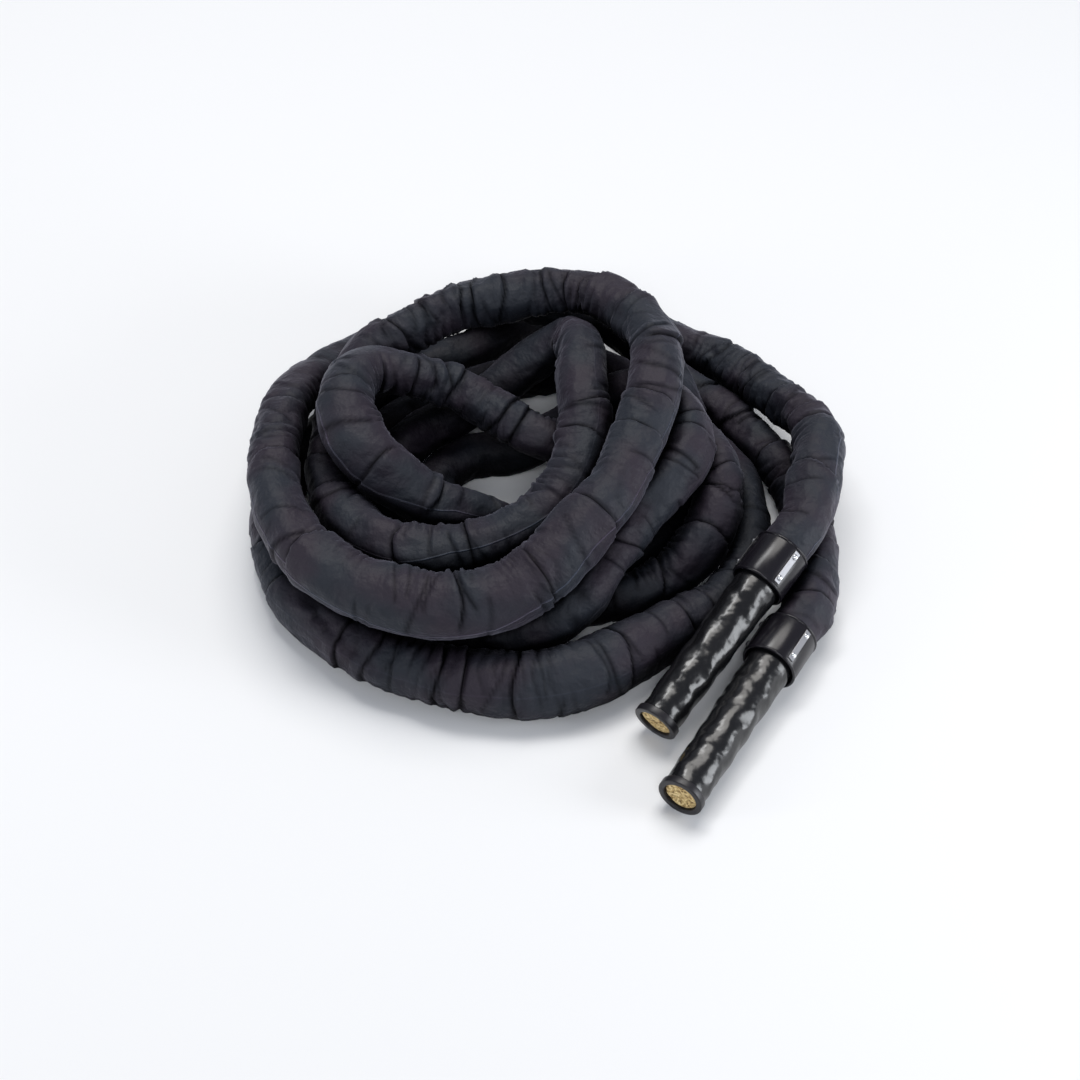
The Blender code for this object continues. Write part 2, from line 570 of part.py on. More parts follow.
def add_end(letter, axis, parts, cutters, materials):
    """Grip, ring, ferrule, plates and rivets of one end, and the rivet holes through all that they fasten."""
    grip = add_grip(f"grip_{letter}", axis, parts, materials["grip"])
    add_end_ring(f"end_ring_{letter}", axis, parts, materials["ring"])
    ferrule = add_ferrule(f"ferrule_{letter}", axis, parts, materials["ferrule"])
    plates = [add_plate(f"rivet_plate_{letter}{number}", axis, bearing, parts, materials["steel"])
              for number, bearing in enumerate(PLATE_BEARINGS, 1)]
    add_rivets(letter, axis, parts, materials["steel"])
    holes = add_rivet_holes(letter, axis, cutters)
    for thing in (grip, ferrule, *plates, bpy.data.objects["sleeve"], bpy.data.objects["rope_core"]):
        add_boolean(thing, holes, "DIFFERENCE")


def centre_on_ground(parts):
    """Moves everything so that the origin lies under the middle of the whole, at ground level."""
    graph = bpy.context.evaluated_depsgraph_get()
    corners = []
    for thing in parts.objects:
        solid = thing.evaluated_get(graph)
        corners += [solid.matrix_world @ Vector(corner) for corner in solid.bound_box]
    corners = np.array(corners)
    middle = (corners.min(axis=0) + corners.max(axis=0)) / 2
    for thing in bpy.data.objects:
        if thing.parent is None:
            thing.matrix_world = Matrix.Translation((-middle[0], -middle[1], 0)) @ thing.matrix_world
    print(f"moved by {-middle[0] / MM:.2f}, {-middle[1] / MM:.2f} mm to stand on the origin")
    return middle


def main():
    clear_scene()
    parts, cutters = new_collection(OBJECT_NAME), new_collection("cutters")
    materials = {
        "rope": new_material("natural rope", (0.55, 0.40, 0.18), 0.9),
        "sleeve": new_material("black sleeve cloth", (0.012, 0.011, 0.014), 0.85),
        "grip": new_material("gloss black shrink tube", (0.008, 0.008, 0.009), 0.2),
        "ring": new_material("matt black ring", (0.02, 0.017, 0.022), 0.55),
        "ferrule": new_material("black ferrule", (0.01, 0.01, 0.011), 0.3),
        "steel": new_material("bright steel", (0.7, 0.7, 0.72), 0.3, 1.0),
    }
    axes = (add_end_axis("end_a", END_A_TIP, END_A_ROOT, END_A_PLATE_WAY),
            add_end_axis("end_b", END_B_TIP, END_B_ROOT, END_B_PLATE_WAY))
    rows = route_points()
    points, widths = settle(rows), rows[:, 3]
    print_measures(points, widths / 2)
    add_rope_core(points, axes, parts, cutters, materials["rope"])
    add_sleeve(points, widths, axes, parts, cutters, materials["sleeve"])
    for letter, axis in zip("ab", axes):
        add_end(letter, axis, parts, cutters, materials)
    middle = centre_on_ground(parts)
    deepest = (widths / 2 - points[:, 2]).argmax()
    place = points[deepest] - middle
    print(f"flat under point {deepest} at {place[0]:.5f}, {place[1]:.5f} m")


main()
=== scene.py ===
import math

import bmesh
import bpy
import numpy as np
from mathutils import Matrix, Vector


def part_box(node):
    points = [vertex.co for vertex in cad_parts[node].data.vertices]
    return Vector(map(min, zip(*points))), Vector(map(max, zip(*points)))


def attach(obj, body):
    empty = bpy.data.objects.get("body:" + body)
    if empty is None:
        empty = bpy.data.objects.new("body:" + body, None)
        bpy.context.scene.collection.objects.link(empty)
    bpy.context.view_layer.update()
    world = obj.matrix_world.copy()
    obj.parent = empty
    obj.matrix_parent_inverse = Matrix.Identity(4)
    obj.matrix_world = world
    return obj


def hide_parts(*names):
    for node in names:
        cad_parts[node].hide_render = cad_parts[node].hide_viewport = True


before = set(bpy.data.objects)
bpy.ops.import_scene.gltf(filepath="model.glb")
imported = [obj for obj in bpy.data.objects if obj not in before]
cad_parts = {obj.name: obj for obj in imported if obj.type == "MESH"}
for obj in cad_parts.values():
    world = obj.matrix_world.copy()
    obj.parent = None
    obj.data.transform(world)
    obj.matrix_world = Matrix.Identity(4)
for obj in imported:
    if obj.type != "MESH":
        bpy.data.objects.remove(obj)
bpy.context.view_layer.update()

# %% [markdown]
# # A battle rope in its gathered sleeve
#
# This lesson dresses a CAD model of a battle rope. The rope lies in a loose pile, inside a black cloth sleeve
# that is too long for it, so that it gathers. Each end has a shrunk-on grip, a ferrule with two riveted
# plates, and a ring round the cut end of the rope. The cells go from the rope's route over the camera, the
# materials, the sleeve and the ends to the light.

MM = 0.001
scene = bpy.context.scene

# %% [markdown]
# ## The rope's route
#
# The CAD model reads its route from a list of places, so this scene repeats that list. Each row gives a
# place across, away and up, and the slack of the sleeve over the rope, in pile units. A row of two numbers
# lies on the ground. The second value of a stretch says how far it gives way where strands would sink into
# each other.

# %% Sizes that the CAD model has too
ROPE_WIDTH = 38 * MM
PILE_UNIT = ROPE_WIDTH / 38
POINT_STEP = 47 * PILE_UNIT
SLEEVE_END_SLACK = 9 * PILE_UNIT
SLEEVE_STRAIGHT = 30 * MM
PILE_GAP = 1 * MM
SEAT_GAP = 0.3 * MM
FLOOR_FLAT_SHARE = 0.1
ON_GROUND = (20, 4)  # height and slack

GRIP_LENGTH = 190 * MM
GRIP_WALL = 1.8 * MM
GRIP_TIP_SHRINK = 2.2 * MM
GRIP_RIPPLE_PITCH = 105 * MM
ROPE_STRANDS = 3
END_RING_FACE = 3 * MM
END_RING_SKIRT = 4 * MM
END_RING_WALL = 1.9 * MM
END_RING_BORE = 31 * MM
END_RING_ROUNDING = 1 * MM
FERRULE_LENGTH = 45 * MM
FERRULE_WALL = 2 * MM
FERRULE_LIP = 0.6 * MM
FERRULE_LIP_LENGTH = 3 * MM
FERRULE_OVER_GRIP = 30 * MM
CUFF_WALL = 1.9 * MM
CUFF_SHOW = 5 * MM
PLATE_THICKNESS = 1 * MM
PLATE_MARGIN = 0.9 * MM
RIVET_INSET = 5.5 * MM
RIVET_HEAD_WIDTH = 5.6 * MM
RIVET_HEAD_HEIGHT = 1.6 * MM
PLATE_BEARINGS = (math.radians(0), math.radians(-120))
FERRULE_SIDES = 24

# Each end's tip and root in pile units, and the way that its first plate faces
ENDS = {"a": ((143, -249), (234, -125, 56), Vector((0.54, -0.52, 0.67))),
        "b": ((162, -329), (245, -190, 26), Vector((0.54, -0.48, 0.69)))}

FIRM = 0.12
LOOSE = 1.0
HELD = 0.0
SETTLE_ROUNDS = 600
SETTLE_PULL = 0.03
SETTLE_STEP = 1.3
SETTLE_SMOOTHING = 0.15
PULL_ROUNDS_SHARE = 0.7
SMOOTH_ROUNDS_SHARE = 0.8
NEAR_WIDTHS = 1.8
GOOD_ENOUGH_SHARE = 0.1
CURVE_SPAN_POINTS = 12

ROPE_RADIUS = ROPE_WIDTH / 2
GRIP_RADIUS = ROPE_RADIUS + SEAT_GAP + GRIP_WALL
CUFF_RADIUS = GRIP_RADIUS + SEAT_GAP + CUFF_WALL
FERRULE_RADIUS = CUFF_RADIUS + SEAT_GAP + FERRULE_WALL
GRIP_START = END_RING_FACE + SEAT_GAP
GRIP_END = GRIP_START + GRIP_LENGTH
FERRULE_START = GRIP_END - FERRULE_OVER_GRIP
FERRULE_END = FERRULE_START + FERRULE_LENGTH
RIVET_SPACING = FERRULE_LENGTH - 2 * (FERRULE_LIP_LENGTH + FERRULE_LIP + PLATE_MARGIN) - 2 * RIVET_INSET
RING_BORE_RADIUS = GRIP_RADIUS - GRIP_TIP_SHRINK + SEAT_GAP
RING_RADIUS = RING_BORE_RADIUS + END_RING_WALL
SLEEVE_TUBE_START = FERRULE_END + CUFF_SHOW
RUN_STEPS = math.ceil(SLEEVE_TUBE_START / POINT_STEP)

# %% The route, stretch by stretch from grip A to grip B
ROUTE = (
    ("from ferrule A round the right", FIRM, ((292, -22, 74, 10), (299, 7, 76, 11), (304, 42, 71, 10),
     (299, 81, 61, 7), (274, 121, 50, 5), (244, 160, 38, 5), (211, 199, 28, 5), (177, 226, 22, 5))),
    ("lowest turn, back and left", LOOSE, ((130, 264), (85, 296), (40, 285), (5, 245), (-45, 212), (-95, 172),
     (-138, 134), (-173, 92, 20, 5), (-197, 48, 20, 6))),
    ("outermost turn in sight", FIRM, ((-205, 0, 20, 8), (-202, -30, 20, 10), (-195, -60, 21, 12),
     (-172, -106, 22, 16), (-136, -140, 24, 18), (-97, -169, 24, 19), (-50, -189, 24, 21), (0, -200, 24, 22),
     (45, -201, 24, 24), (90, -187, 24, 24), (132, -160, 23, 22), (170, -134, 21, 15), (204, -100, 20, 7),
     (227, -52, 20, 6), (235, -8, 20, 6))),
    ("in under the right side, to the back", LOOSE, ((235, 30, 20, 5), (224, 64, 20, 5), (202, 98, 26, 5),
     (178, 134, 44, 5), (150, 174, 60, 5), (120, 204, 64, 4), (80, 216, 65, 4), (30, 240, 62, 4), (-20, 252, 42, 4),
     (-70, 240, 24, 4), (-116, 207, 25, 5), (-149, 164, 38, 6))),
    ("second layer, left and front", FIRM, ((-176, 114, 62, 8), (-190, 62, 76, 9), (-195, 14, 82, 10),
     (-190, -46, 82, 12), (-172, -93, 80, 16), (-144, -124, 77, 18), (-108, -148, 74, 22), (-62, -164, 74, 24),
     (-12, -168, 76, 24), (38, -150, 80, 23))),
    ("top turn, right and back", FIRM, ((72, -119, 91, 21), (107, -80, 105, 16), (124, -48, 112, 14),
     (136, -15, 118, 12), (147, 18, 123, 12), (156, 58, 128, 10), (156, 98, 131, 8), (150, 117, 131, 8),
     (139, 140, 130, 7), (121, 167, 127, 6), (96, 187, 124, 4), (73, 196, 122, 3), (47, 196, 120, 6),
     (20, 192, 118, 8), (-9, 188, 116, 8), (-40, 181, 114, 8), (-78, 161, 110, 8), (-106, 144, 104, 8),
     (-130, 131, 94, 7))),
    ("inner turn", FIRM, ((-140, 116, 82, 6), (-147, 92, 72, 6), (-153, 62, 65, 6), (-154, 30, 64, 7),
     (-152, 0, 64, 8), (-143, -29, 65, 10), (-127, -58, 67, 11), (-100, -80, 69, 12), (-70, -93, 70, 12),
     (-38, -94, 72, 12), (-4, -87, 75, 12), (29, -73, 80, 12), (53, -57, 85, 12), (70, -38, 91, 12), (81, -11, 97, 13),
     (88, 16, 101, 13), (91, 44, 104, 13), (90, 79, 107, 12), (91, 118, 107, 9), (89, 148, 97, 7))),
    ("down and once round on the ground", LOOSE, ((74, 166, 74, 4), (42, 156, 50, 4), (2, 130, 32, 4),
     (-40, 104, 22, 4), (-74, 72), (-90, 40), (-94, 14), (-88, -16), (-74, -60), (-44, -92), (0, -109), (50, -117),
     (100, -114, 20, 5))),
    ("third strand in sight on the right", FIRM, ((140, -105, 20, 6), (170, -88, 22, 7), (196, -70, 33, 8),
     (214, -48, 46, 8), (222, -20, 57, 8), (222, 10, 62, 8), (212, 42, 61, 8), (199, 68, 57, 8))),
    ("down and once more round", LOOSE, ((176, 104, 56, 6), (136, 138, 56, 4), (80, 168, 42, 4), (30, 178, 26, 4),
     (-12, 170), (-54, 148), (-89, 118), (-115, 86), (-132, 52), (-137, 15), (-133, -25), (-120, -68), (-98, -106),
     (-66, -134), (-22, -151), (25, -157, 22, 5), (70, -130, 42, 8))),
    ("second strand in sight on the right", FIRM, ((108, -76, 68, 10), (138, -42, 76, 12), (161, -20, 84, 12),
     (179, 1, 89, 12), (187, 21, 92, 11), (186, 49, 94, 9), (176, 82, 91, 7))),
    ("innermost turn on the ground", LOOSE, ((146, 104, 82, 6), (103, 102, 60, 4), (67, 86, 38, 4), (34, 84, 22, 4),
     (0, 84), (-32, 74), (-56, 46), (-54, 0), (-40, -40), (-4, -64), (46, -72), (94, -74, 20, 5), (136, -64, 20, 6))),
    ("strand in sight between those two", FIRM, ((163, -40, 21, 6), (181, -12, 21, 6), (188, 16, 22, 6),
     (178, 42, 28, 6))),
    ("in under the inner turn", LOOSE, ((148, 58, 44, 5), (105, 60, 58, 4))),
    ("small loop in the middle", FIRM, ((62, 52, 71, 4), (30, 63, 75, 4), (0, 84, 80, 4), (-35, 102, 86, 5),
     (-75, 106, 98, 5), (-105, 110, 104, 7), (-125, 99, 110, 9), (-137, 81, 113, 12), (-141, 58, 114, 16),
     (-138, 33, 112, 19), (-128, 6, 106, 19), (-109, -13, 94, 18), (-83, -25, 77, 13), (-55, -39, 62, 8),
     (-22, -41, 45, 5), (12, -42, 28, 4))),
    ("out under the inner turn", LOOSE, ((46, -18), (78, 16), (96, 58), (104, 105), (108, 140), (122, 172),
     (152, 180, 20, 5), (178, 160, 20, 5))),
    ("out on the ground to ferrule B", FIRM, ((197, 130, 20, 5), (224, 104, 20, 5), (249, 75, 21, 5), (269, 45, 22, 6),
     (284, 12, 22, 7), (291, -34, 21, 7), (295, -82, 21, 7))),
)

# %% [markdown]
# The next cell draws a smooth curve through the list, reads it at steps of 47 mm, and then lets the strands
# settle: wherever two of them are closer than their sleeves allow, the looser one moves away. The CAD model
# settles in the same way, so both lie in the same space.

# %% Settling the route


def smooth_curve(points):
    """Points on a Catmull-Rom curve through the given ones."""
    p = np.array(points, float)
    p = np.vstack([2 * p[0] - p[1], p, 2 * p[-1] - p[-2]])
    curve = []
    for before, start, end, after in zip(p, p[1:], p[2:], p[3:]):
        for t in np.arange(CURVE_SPAN_POINTS) / CURVE_SPAN_POINTS:
            curve.append(0.5 * (2 * start + (end - before) * t
                                + (2 * before - 5 * start + 4 * end - after) * t ** 2
                                + (3 * start - before - 3 * end + after) * t ** 3))
    curve.append(p[-2])
    return np.array(curve)


def sizes(ways):
    """The length of each row."""
    return np.linalg.norm(ways, axis=1)


def run_along(points):
    """Distance along a line of points, from its first point to each."""
    return np.concatenate([[0], np.cumsum(sizes(np.diff(points[:, :3], axis=0)))])


def read_at(curve, places):
    """The rows of a curve at given distances along it."""
    run = run_along(curve)
    return np.column_stack([np.interp(places, run, column) for column in curve.T])


def evenly_spaced(curve, step):
    """The same curve, read at even steps along it."""
    length = run_along(curve)[-1]
    return read_at(curve, np.linspace(0, length, round(length / step) + 1))


def end_line(letter):
    """A grip's tip, its ring resting on the ground, and the way that the grip points up its axis."""
    tip, root, _ = ENDS[letter]
    tip = np.array((tip[0] * PILE_UNIT, tip[1] * PILE_UNIT, RING_RADIUS))
    way = np.array(root) * PILE_UNIT - tip
    return tip, way / np.linalg.norm(way)


def straight_run(letter):
    """The straight end of the rope: points with their width, none of which gives way."""
    tip, way = end_line(letter)
    places = [*np.linspace(0, SLEEVE_TUBE_START, RUN_STEPS + 1), SLEEVE_TUBE_START + SLEEVE_STRAIGHT]
    return np.array([(*(tip + way * place), ROPE_WIDTH + SLEEVE_END_SLACK, HELD) for place in places])


def route_points():
    """Rows of across, away, height, sleeve width and give, from tip A to tip B, before settling."""
    run_a, run_b = straight_run("a"), straight_run("b")[::-1]
    rows = [(x * PILE_UNIT, y * PILE_UNIT, z * PILE_UNIT, ROPE_WIDTH + slack * PILE_UNIT, give)
            for _, give, spots in ROUTE for x, y, z, slack in ((*spot, *ON_GROUND)[:4] for spot in spots)]
    free = evenly_spaced(smooth_curve([*run_a[-2:], *rows, *run_b[:2]]), POINT_STEP)
    after_a, after_b = (sizes(free[:, :3] - end[:3]).argmin() for end in (run_a[-1], run_b[0]))
    free = free[after_a + 1:after_b]
    free[:, 4] = np.clip(free[:, 4], FIRM, LOOSE)
    return np.vstack([run_a, free, run_b])


def nearest_spots(p):
    """For each pair of segments: the shares along them of their nearest spots, and the way between."""
    i, j = np.triu_indices(len(p) - 1, 1)
    u, v, w = p[i + 1] - p[i], p[j + 1] - p[j], p[i] - p[j]
    uu, vv, uv = (u * u).sum(1), (v * v).sum(1), (u * v).sum(1)
    uw, vw = (u * w).sum(1), (v * w).sum(1)
    spread = np.maximum(uu * vv - uv ** 2, np.finfo(float).tiny)
    s = np.clip((uv * vw - vv * uw) / spread, 0, 1)
    t = np.clip((uv * s + vw) / vv, 0, 1)
    s = np.clip((uv * t - uw) / uu, 0, 1)
    return i, j, s, t, w + u * s[:, None] - v * t[:, None]


def settle(rows, step=POINT_STEP, rounds=SETTLE_ROUNDS):
    """Eases apart stretches that would sink into one another or the ground, loose ones further than firm ones."""
    home, radii, give = rows[:, :3], rows[:, 3] / 2, rows[:, 4]
    lowest = (1 - 2 * FLOOR_FLAT_SHARE) * radii
    free = (give > HELD)[:, None]
    moved = np.zeros_like(home)
    for turn in range(rounds):
        if turn < PULL_ROUNDS_SHARE * rounds:
            moved = moved * (1 - SETTLE_PULL * (1 - give))[:, None]
        i, j, s, t, way = nearest_spots(home + moved)
        distance = sizes(way)
        need = radii[i] * (1 - s) + radii[i + 1] * s + radii[j] * (1 - t) + radii[j + 1] * t
        counts = (j + t - i - s) * step > NEAR_WIDTHS * need
        lack = np.where(counts, need + PILE_GAP - distance, 0)
        if lack.max() < GOOD_ENOUGH_SHARE * PILE_GAP:
            break
        hit = lack > 0
        i, j, s, t = i[hit], j[hit], s[hit], t[hit]
        push = way[hit] * (lack[hit] / distance[hit])[:, None]
        give_i = give[i] * (1 - s) + give[i + 1] * s
        give_j = give[j] * (1 - t) + give[j + 1] * t
        part_i = (give_i / (give_i + give_j))[:, None]
        total, weight = np.zeros_like(moved), np.zeros(len(moved))
        for point, share, shove in ((i, 1 - s, part_i * push), (i + 1, s, part_i * push),
                                    (j, 1 - t, (part_i - 1) * push), (j + 1, t, (part_i - 1) * push)):
            np.add.at(total, point, share[:, None] * shove)
            np.add.at(weight, point, share)
        moved = moved + free * SETTLE_STEP * total / np.maximum(weight, 1)[:, None]
        if turn < SMOOTH_ROUNDS_SHARE * rounds:
            beside = moved[:-2] + moved[2:] - 2 * moved[1:-1]
            moved[1:-1] += SETTLE_SMOOTHING * beside
            moved = moved * free
        moved[:, 2] += free[:, 0] * np.maximum(lowest - (home + moved)[:, 2], 0)
    return np.column_stack([home + moved, rows[:, 3:]])


# %% [markdown]
# The CAD model is centred on the ground, and the route is not. The shift between them comes from the ring
# on end A, whose middle lies half its depth up the grip's axis.

# %% The route in the model's own place


def pile_shift():
    tip, way = end_line("a")
    low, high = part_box("end_ring_a")
    ring_middle = tip + way * (GRIP_START + END_RING_SKIRT) / 2
    shift = (np.array(low) + np.array(high)) / 2 - ring_middle
    return np.array((shift[0], shift[1], 0))


def end_frame(letter):
    """The frame of an end: origin at the grip's tip, Z up the grip, X the way the first plate faces."""
    tip, up = end_line(letter)
    up, plate_way = Vector(up), ENDS[letter][2]
    across = (plate_way - plate_way.dot(up) * up).normalized()
    turn = Matrix((across, up.cross(across), up)).transposed().to_4x4()
    return Matrix.Translation(Vector(tip + PILE_SHIFT)) @ turn


FINE_STEP = 14 * MM
FINE_ROUNDS = 60
LINE_STEP = 1 * MM

PILE_SHIFT = pile_shift()
END_FRAMES = {letter: end_frame(letter) for letter in ENDS}
coarse = settle(route_points())
fine = settle(evenly_spaced(smooth_curve(coarse), FINE_STEP), FINE_STEP, FINE_ROUNDS)
fine[:, :3] += PILE_SHIFT
ROPE_LINE = evenly_spaced(smooth_curve(fine), LINE_STEP)

# %% [markdown]
# ## Camera
#
# The photograph looks down on the pile from about 48 degrees, from 2.4 m away, through a long lens.

# %% Camera
CAMERA_RISE = math.radians(48)
CAMERA_DISTANCE = 2.4
CAMERA_LENS = 84.67
CAMERA_AIM = (42.5 * MM, -12.8 * MM, 0)


def add_object(name, data, place=(0, 0, 0), facing=None):
    """Puts new data into the scene at a place, with its Z axis turned the way that it faces."""
    thing = bpy.data.objects.new(name, data)
    thing.location = place
    if facing is not None:
        thing.rotation_euler = Vector(facing).to_track_quat("Z", "Y").to_euler()
    scene.collection.objects.link(thing)
    return thing


def add_camera():
    data = bpy.data.cameras.new("camera")
    data.lens = CAMERA_LENS
    data.sensor_fit = "HORIZONTAL"
    aim = Vector(CAMERA_AIM) + Vector(PILE_SHIFT)
    back = Vector((0, -math.cos(CAMERA_RISE), math.sin(CAMERA_RISE)))
    scene.camera = add_object("camera", data, aim + back * CAMERA_DISTANCE, back)


add_camera()
scene.view_settings.view_transform = "Standard"

# %% [markdown]
# ## Mesh helpers
#
# Most pieces here are turned, or are tubes built ring by ring.

# %% Mesh helpers


def mesh_of(name, shape):
    """A mesh with the shape of a bmesh, which is freed."""
    mesh = bpy.data.meshes.new(name)
    shape.to_mesh(mesh)
    shape.free()
    return mesh


def finish_mesh(name, shape, slot, replaced=None, sharp_degrees=None, material=None):
    """A smooth piece of the frame, in the place of a CAD node where one is named. Its material is the slot's,
    unless another is named."""
    bmesh.ops.recalc_face_normals(shape, faces=shape.faces)
    mesh = mesh_of(name, shape)
    mesh.shade_smooth()
    if sharp_degrees:
        mesh.set_sharp_from_angle(angle=math.radians(sharp_degrees))
    piece = add_object(name, mesh)
    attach(piece, "root")
    if replaced:
        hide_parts(replaced)
    mesh.materials.append(MATERIALS[material or slot])
    return piece


def turned(profile, sides):
    """A closed profile of (radius, height) pairs turned round Z."""
    shape = bmesh.new()
    corners = [shape.verts.new((radius, 0, height)) for radius, height in profile]
    edges = [shape.edges.new(pair) for pair in zip(corners, corners[1:] + corners[:1])]
    bmesh.ops.spin(shape, geom=corners + edges, cent=(0, 0, 0), axis=(0, 0, 1), angle=math.tau,
                   steps=sides, use_merge=True)
    bmesh.ops.remove_doubles(shape, verts=shape.verts, dist=MM / 100)
    return shape


def arc(centre, radius, start, end, points):
    """Points of a (radius, height) profile on an arc, from one angle to another."""
    return [(centre[0] + radius * math.cos(turn), centre[1] + radius * math.sin(turn))
            for turn in np.linspace(start, end, points)]


def ring_tube(rings, values=None):
    """A closed tube from an array of rings x sides x 3, with UVs in metres and named values on its points."""
    count, sides = rings.shape[:2]
    values = values or {}
    shape = bmesh.new()
    for name in values:
        shape.verts.layers.float.new(name)
    uv = shape.loops.layers.uv.new("along_round")
    spots = np.array([[shape.verts.new(place) for place in line] for line in rings.transpose(1, 0, 2)])
    for name, table in values.items():
        layer = shape.verts.layers.float[name]
        for spot, number in zip(spots.flat, table.T.flat):
            spot[layer] = number
    run = run_along(rings.mean(axis=1))
    width = np.linalg.norm(np.diff(rings, axis=1), axis=2).sum(axis=1).mean()
    for side in range(sides):
        for ring in range(count - 1):
            corners = ((side, ring), (side, ring + 1), (side + 1, ring + 1), (side + 1, ring))
            face = shape.faces.new([spots[row % sides, column] for row, column in corners])
            for loop, (row, column) in zip(face.loops, corners):
                loop[uv].uv = (run[column], row / sides * width)
    for cap in (spots[:, 0], spots[:, -1]):
        shape.faces.new(cap)
    return shape


# %% [markdown]
# ## Materials
#
# Materials and the surround are made of nodes. `Recipe` adds them and joins them: wherever a node takes a
# value, it takes another node's output as well.

# %% Node helpers


class Recipe:
    """The node tree of a material or a world."""

    def __init__(self, owner):
        owner.use_nodes = True
        self.owner, self.tree = owner, owner.node_tree

    def feed(self, node, inputs):
        for name, value in inputs.items():
            if isinstance(value, bpy.types.NodeSocket):
                self.tree.links.new(value, node.inputs[name])
            else:
                node.inputs[name].default_value = value

    def add(self, kind, inputs=None, output=0, **settings):
        """Adds a node and returns one of its outputs."""
        node = self.tree.nodes.new(f"ShaderNode{kind}")
        for name, value in settings.items():
            setattr(node, name, value)
        self.feed(node, inputs or {})
        return node.outputs[output]

    def finish(self, **inputs):
        """Sets the material's shader, with _ for each space in the inputs' names."""
        shader = self.tree.nodes["Principled BSDF"]
        self.feed(shader, {name.replace("_", " "): value for name, value in inputs.items()})
        return self.owner

    def noise(self, scale, detail, place=None, roughness=0.5):
        place = place or self.add("TexCoord", output="Object")
        return self.add("TexNoise", {"Vector": place, "Scale": scale, "Detail": detail, "Roughness": roughness}, "Fac")

    def attribute(self, name):
        return self.add("Attribute", output="Fac", attribute_name=name)

    def math(self, operation, value, other=0.0):
        return self.add("Math", {0: value, 1: other}, "Value", operation=operation)

    def scaled(self, colour, factor):
        return self.add("VectorMath", {0: colour, 3: factor}, "Vector", operation="SCALE")

    def spread(self, value, low, high, start=0.0, end=1.0, **settings):
        """Takes start to end to low to high."""
        inputs = {"Value": value, "From Min": start, "From Max": end, "To Min": low, "To Max": high}
        return self.add("MapRange", inputs, "Result", **settings)

    def bump(self, height, strength, distance, below=None):
        """Relief with a distance in millimetres, on top of any relief below it."""
        inputs = {"Height": height, "Strength": strength, "Distance": distance * MM}
        return self.add("Bump", inputs | ({"Normal": below} if below else {}), "Normal")

    def ramp(self, value, *stops):
        colour = self.add("ValToRGB", {"Fac": value}, "Color")
        ramp = colour.node.color_ramp
        while len(ramp.elements) < len(stops):
            ramp.elements.new(0.5)
        for element, (place, shade) in zip(ramp.elements, stops):
            element.position = place
            element.color = (*shade, 1)
        return colour


# %% Cloth
SEAM_SINE = 0.05
# How much lighter the seam's colour is: a painted highlight
SEAM_PAINTED_HIGHLIGHT = 3.2
# Painted shade: the cloth darkens where ambient occlusion finds little open air, and in crease grooves and fold
# valleys
SHADE_REACH = 110 * MM
SHADE_SAMPLES = 8
PAINTED_SHADE_OCCLUSION_RANGE = (0.27, 0.66)
PAINTED_SHADE_DARKEST = 0.08
PAINTED_SHADE_DARKEST_IN_FOLDS = 0.06
CLOTH_TINTS = ((0.40, (0.0186, 0.0136, 0.0226)), (0.60, (0.0134, 0.0166, 0.0246)))
CLOTH_PATCHES = 17
THREADS = 330
WRINKLES = (60, 36, 1)
FINE_FOLDS = (240, 75, 1)
CRUMPLES = 70


def seam_line(recipe):
    """1 along the middle of the sleeve's seam, falling to 0 beside it. It sets both the seam's relief and its
    painted highlight.
    """
    aside = recipe.math("ABSOLUTE", recipe.attribute("seam_sine"))
    line = recipe.spread(aside, 1, 0, end=SEAM_SINE, interpolation_type="SMOOTHSTEP")
    near = recipe.math("GREATER_THAN", recipe.attribute("seam_cosine"), 0.5)
    return recipe.math("MULTIPLY", recipe.math("MULTIPLY", line, near), recipe.attribute("seam_shown"))


def cloth_material():
    """Black cloth with a fine weave, wrinkles and a faint sheen. Its colour, sheen and gloss carry painted shade
    behind a crease's edge, in fold valleys and where little open air reaches it, and a painted highlight along its
    seam."""
    recipe = Recipe(bpy.data.materials.new("sleeve cloth"))
    uv = recipe.add("UVMap", output="UV", uv_map="along_round")
    seam = seam_line(recipe)
    occlusion_for_painted_shade = recipe.add("AmbientOcclusion", {"Distance": SHADE_REACH}, "AO", samples=SHADE_SAMPLES)
    # Painted shade: colour, sheen and gloss fall in crease grooves, in fold valleys and where ambient occlusion finds
    # little open air
    light = recipe.math("MULTIPLY", recipe.spread(recipe.attribute("dark"), 1, PAINTED_SHADE_DARKEST_IN_FOLDS),
                        recipe.spread(occlusion_for_painted_shade, PAINTED_SHADE_DARKEST, 1, *PAINTED_SHADE_OCCLUSION_RANGE))
    colour = recipe.scaled(recipe.ramp(recipe.noise(CLOTH_PATCHES, 2), *CLOTH_TINTS), light)
    # Painted highlight: the colour is lighter along the seam
    colour = recipe.scaled(colour, recipe.spread(seam, 1, SEAM_PAINTED_HIGHLIGHT))
    wrinkles, fine = (recipe.noise(1, detail, recipe.add("Mapping", {"Vector": uv, "Scale": scale}))
                      for scale, detail in ((WRINKLES, 3), (FINE_FOLDS, 2)))
    fine = recipe.math("MULTIPLY", fine, recipe.attribute("folds"))
    warp, weft = (recipe.add("TexWave", {"Vector": uv, "Scale": THREADS}, "Fac", bands_direction=way) for way in "XY")
    bump = None
    # Layers of relief, the finest first: height, strength, distance
    for height, strength, distance in ((recipe.math("MAXIMUM", warp, weft), 0.2, 0.1), (fine, 0.6, 2.2),
                                       (wrinkles, 0.55, 3.2), (recipe.noise(CRUMPLES, 3), 0.7, 5), (seam, 0.8, 1.2)):
        bump = recipe.bump(height, strength, distance, bump)
    return recipe.finish(Base_Color=colour, Normal=bump, Roughness=0.62, Sheen_Roughness=0.4,
                         Sheen_Tint=(0.82, 0.82, 1.0, 1.0), Sheen_Weight=recipe.math("MULTIPLY", light, 0.15),
                         Specular_IOR_Level=recipe.math("MULTIPLY", light, 0.32))


# %% Plastics, steel and rope


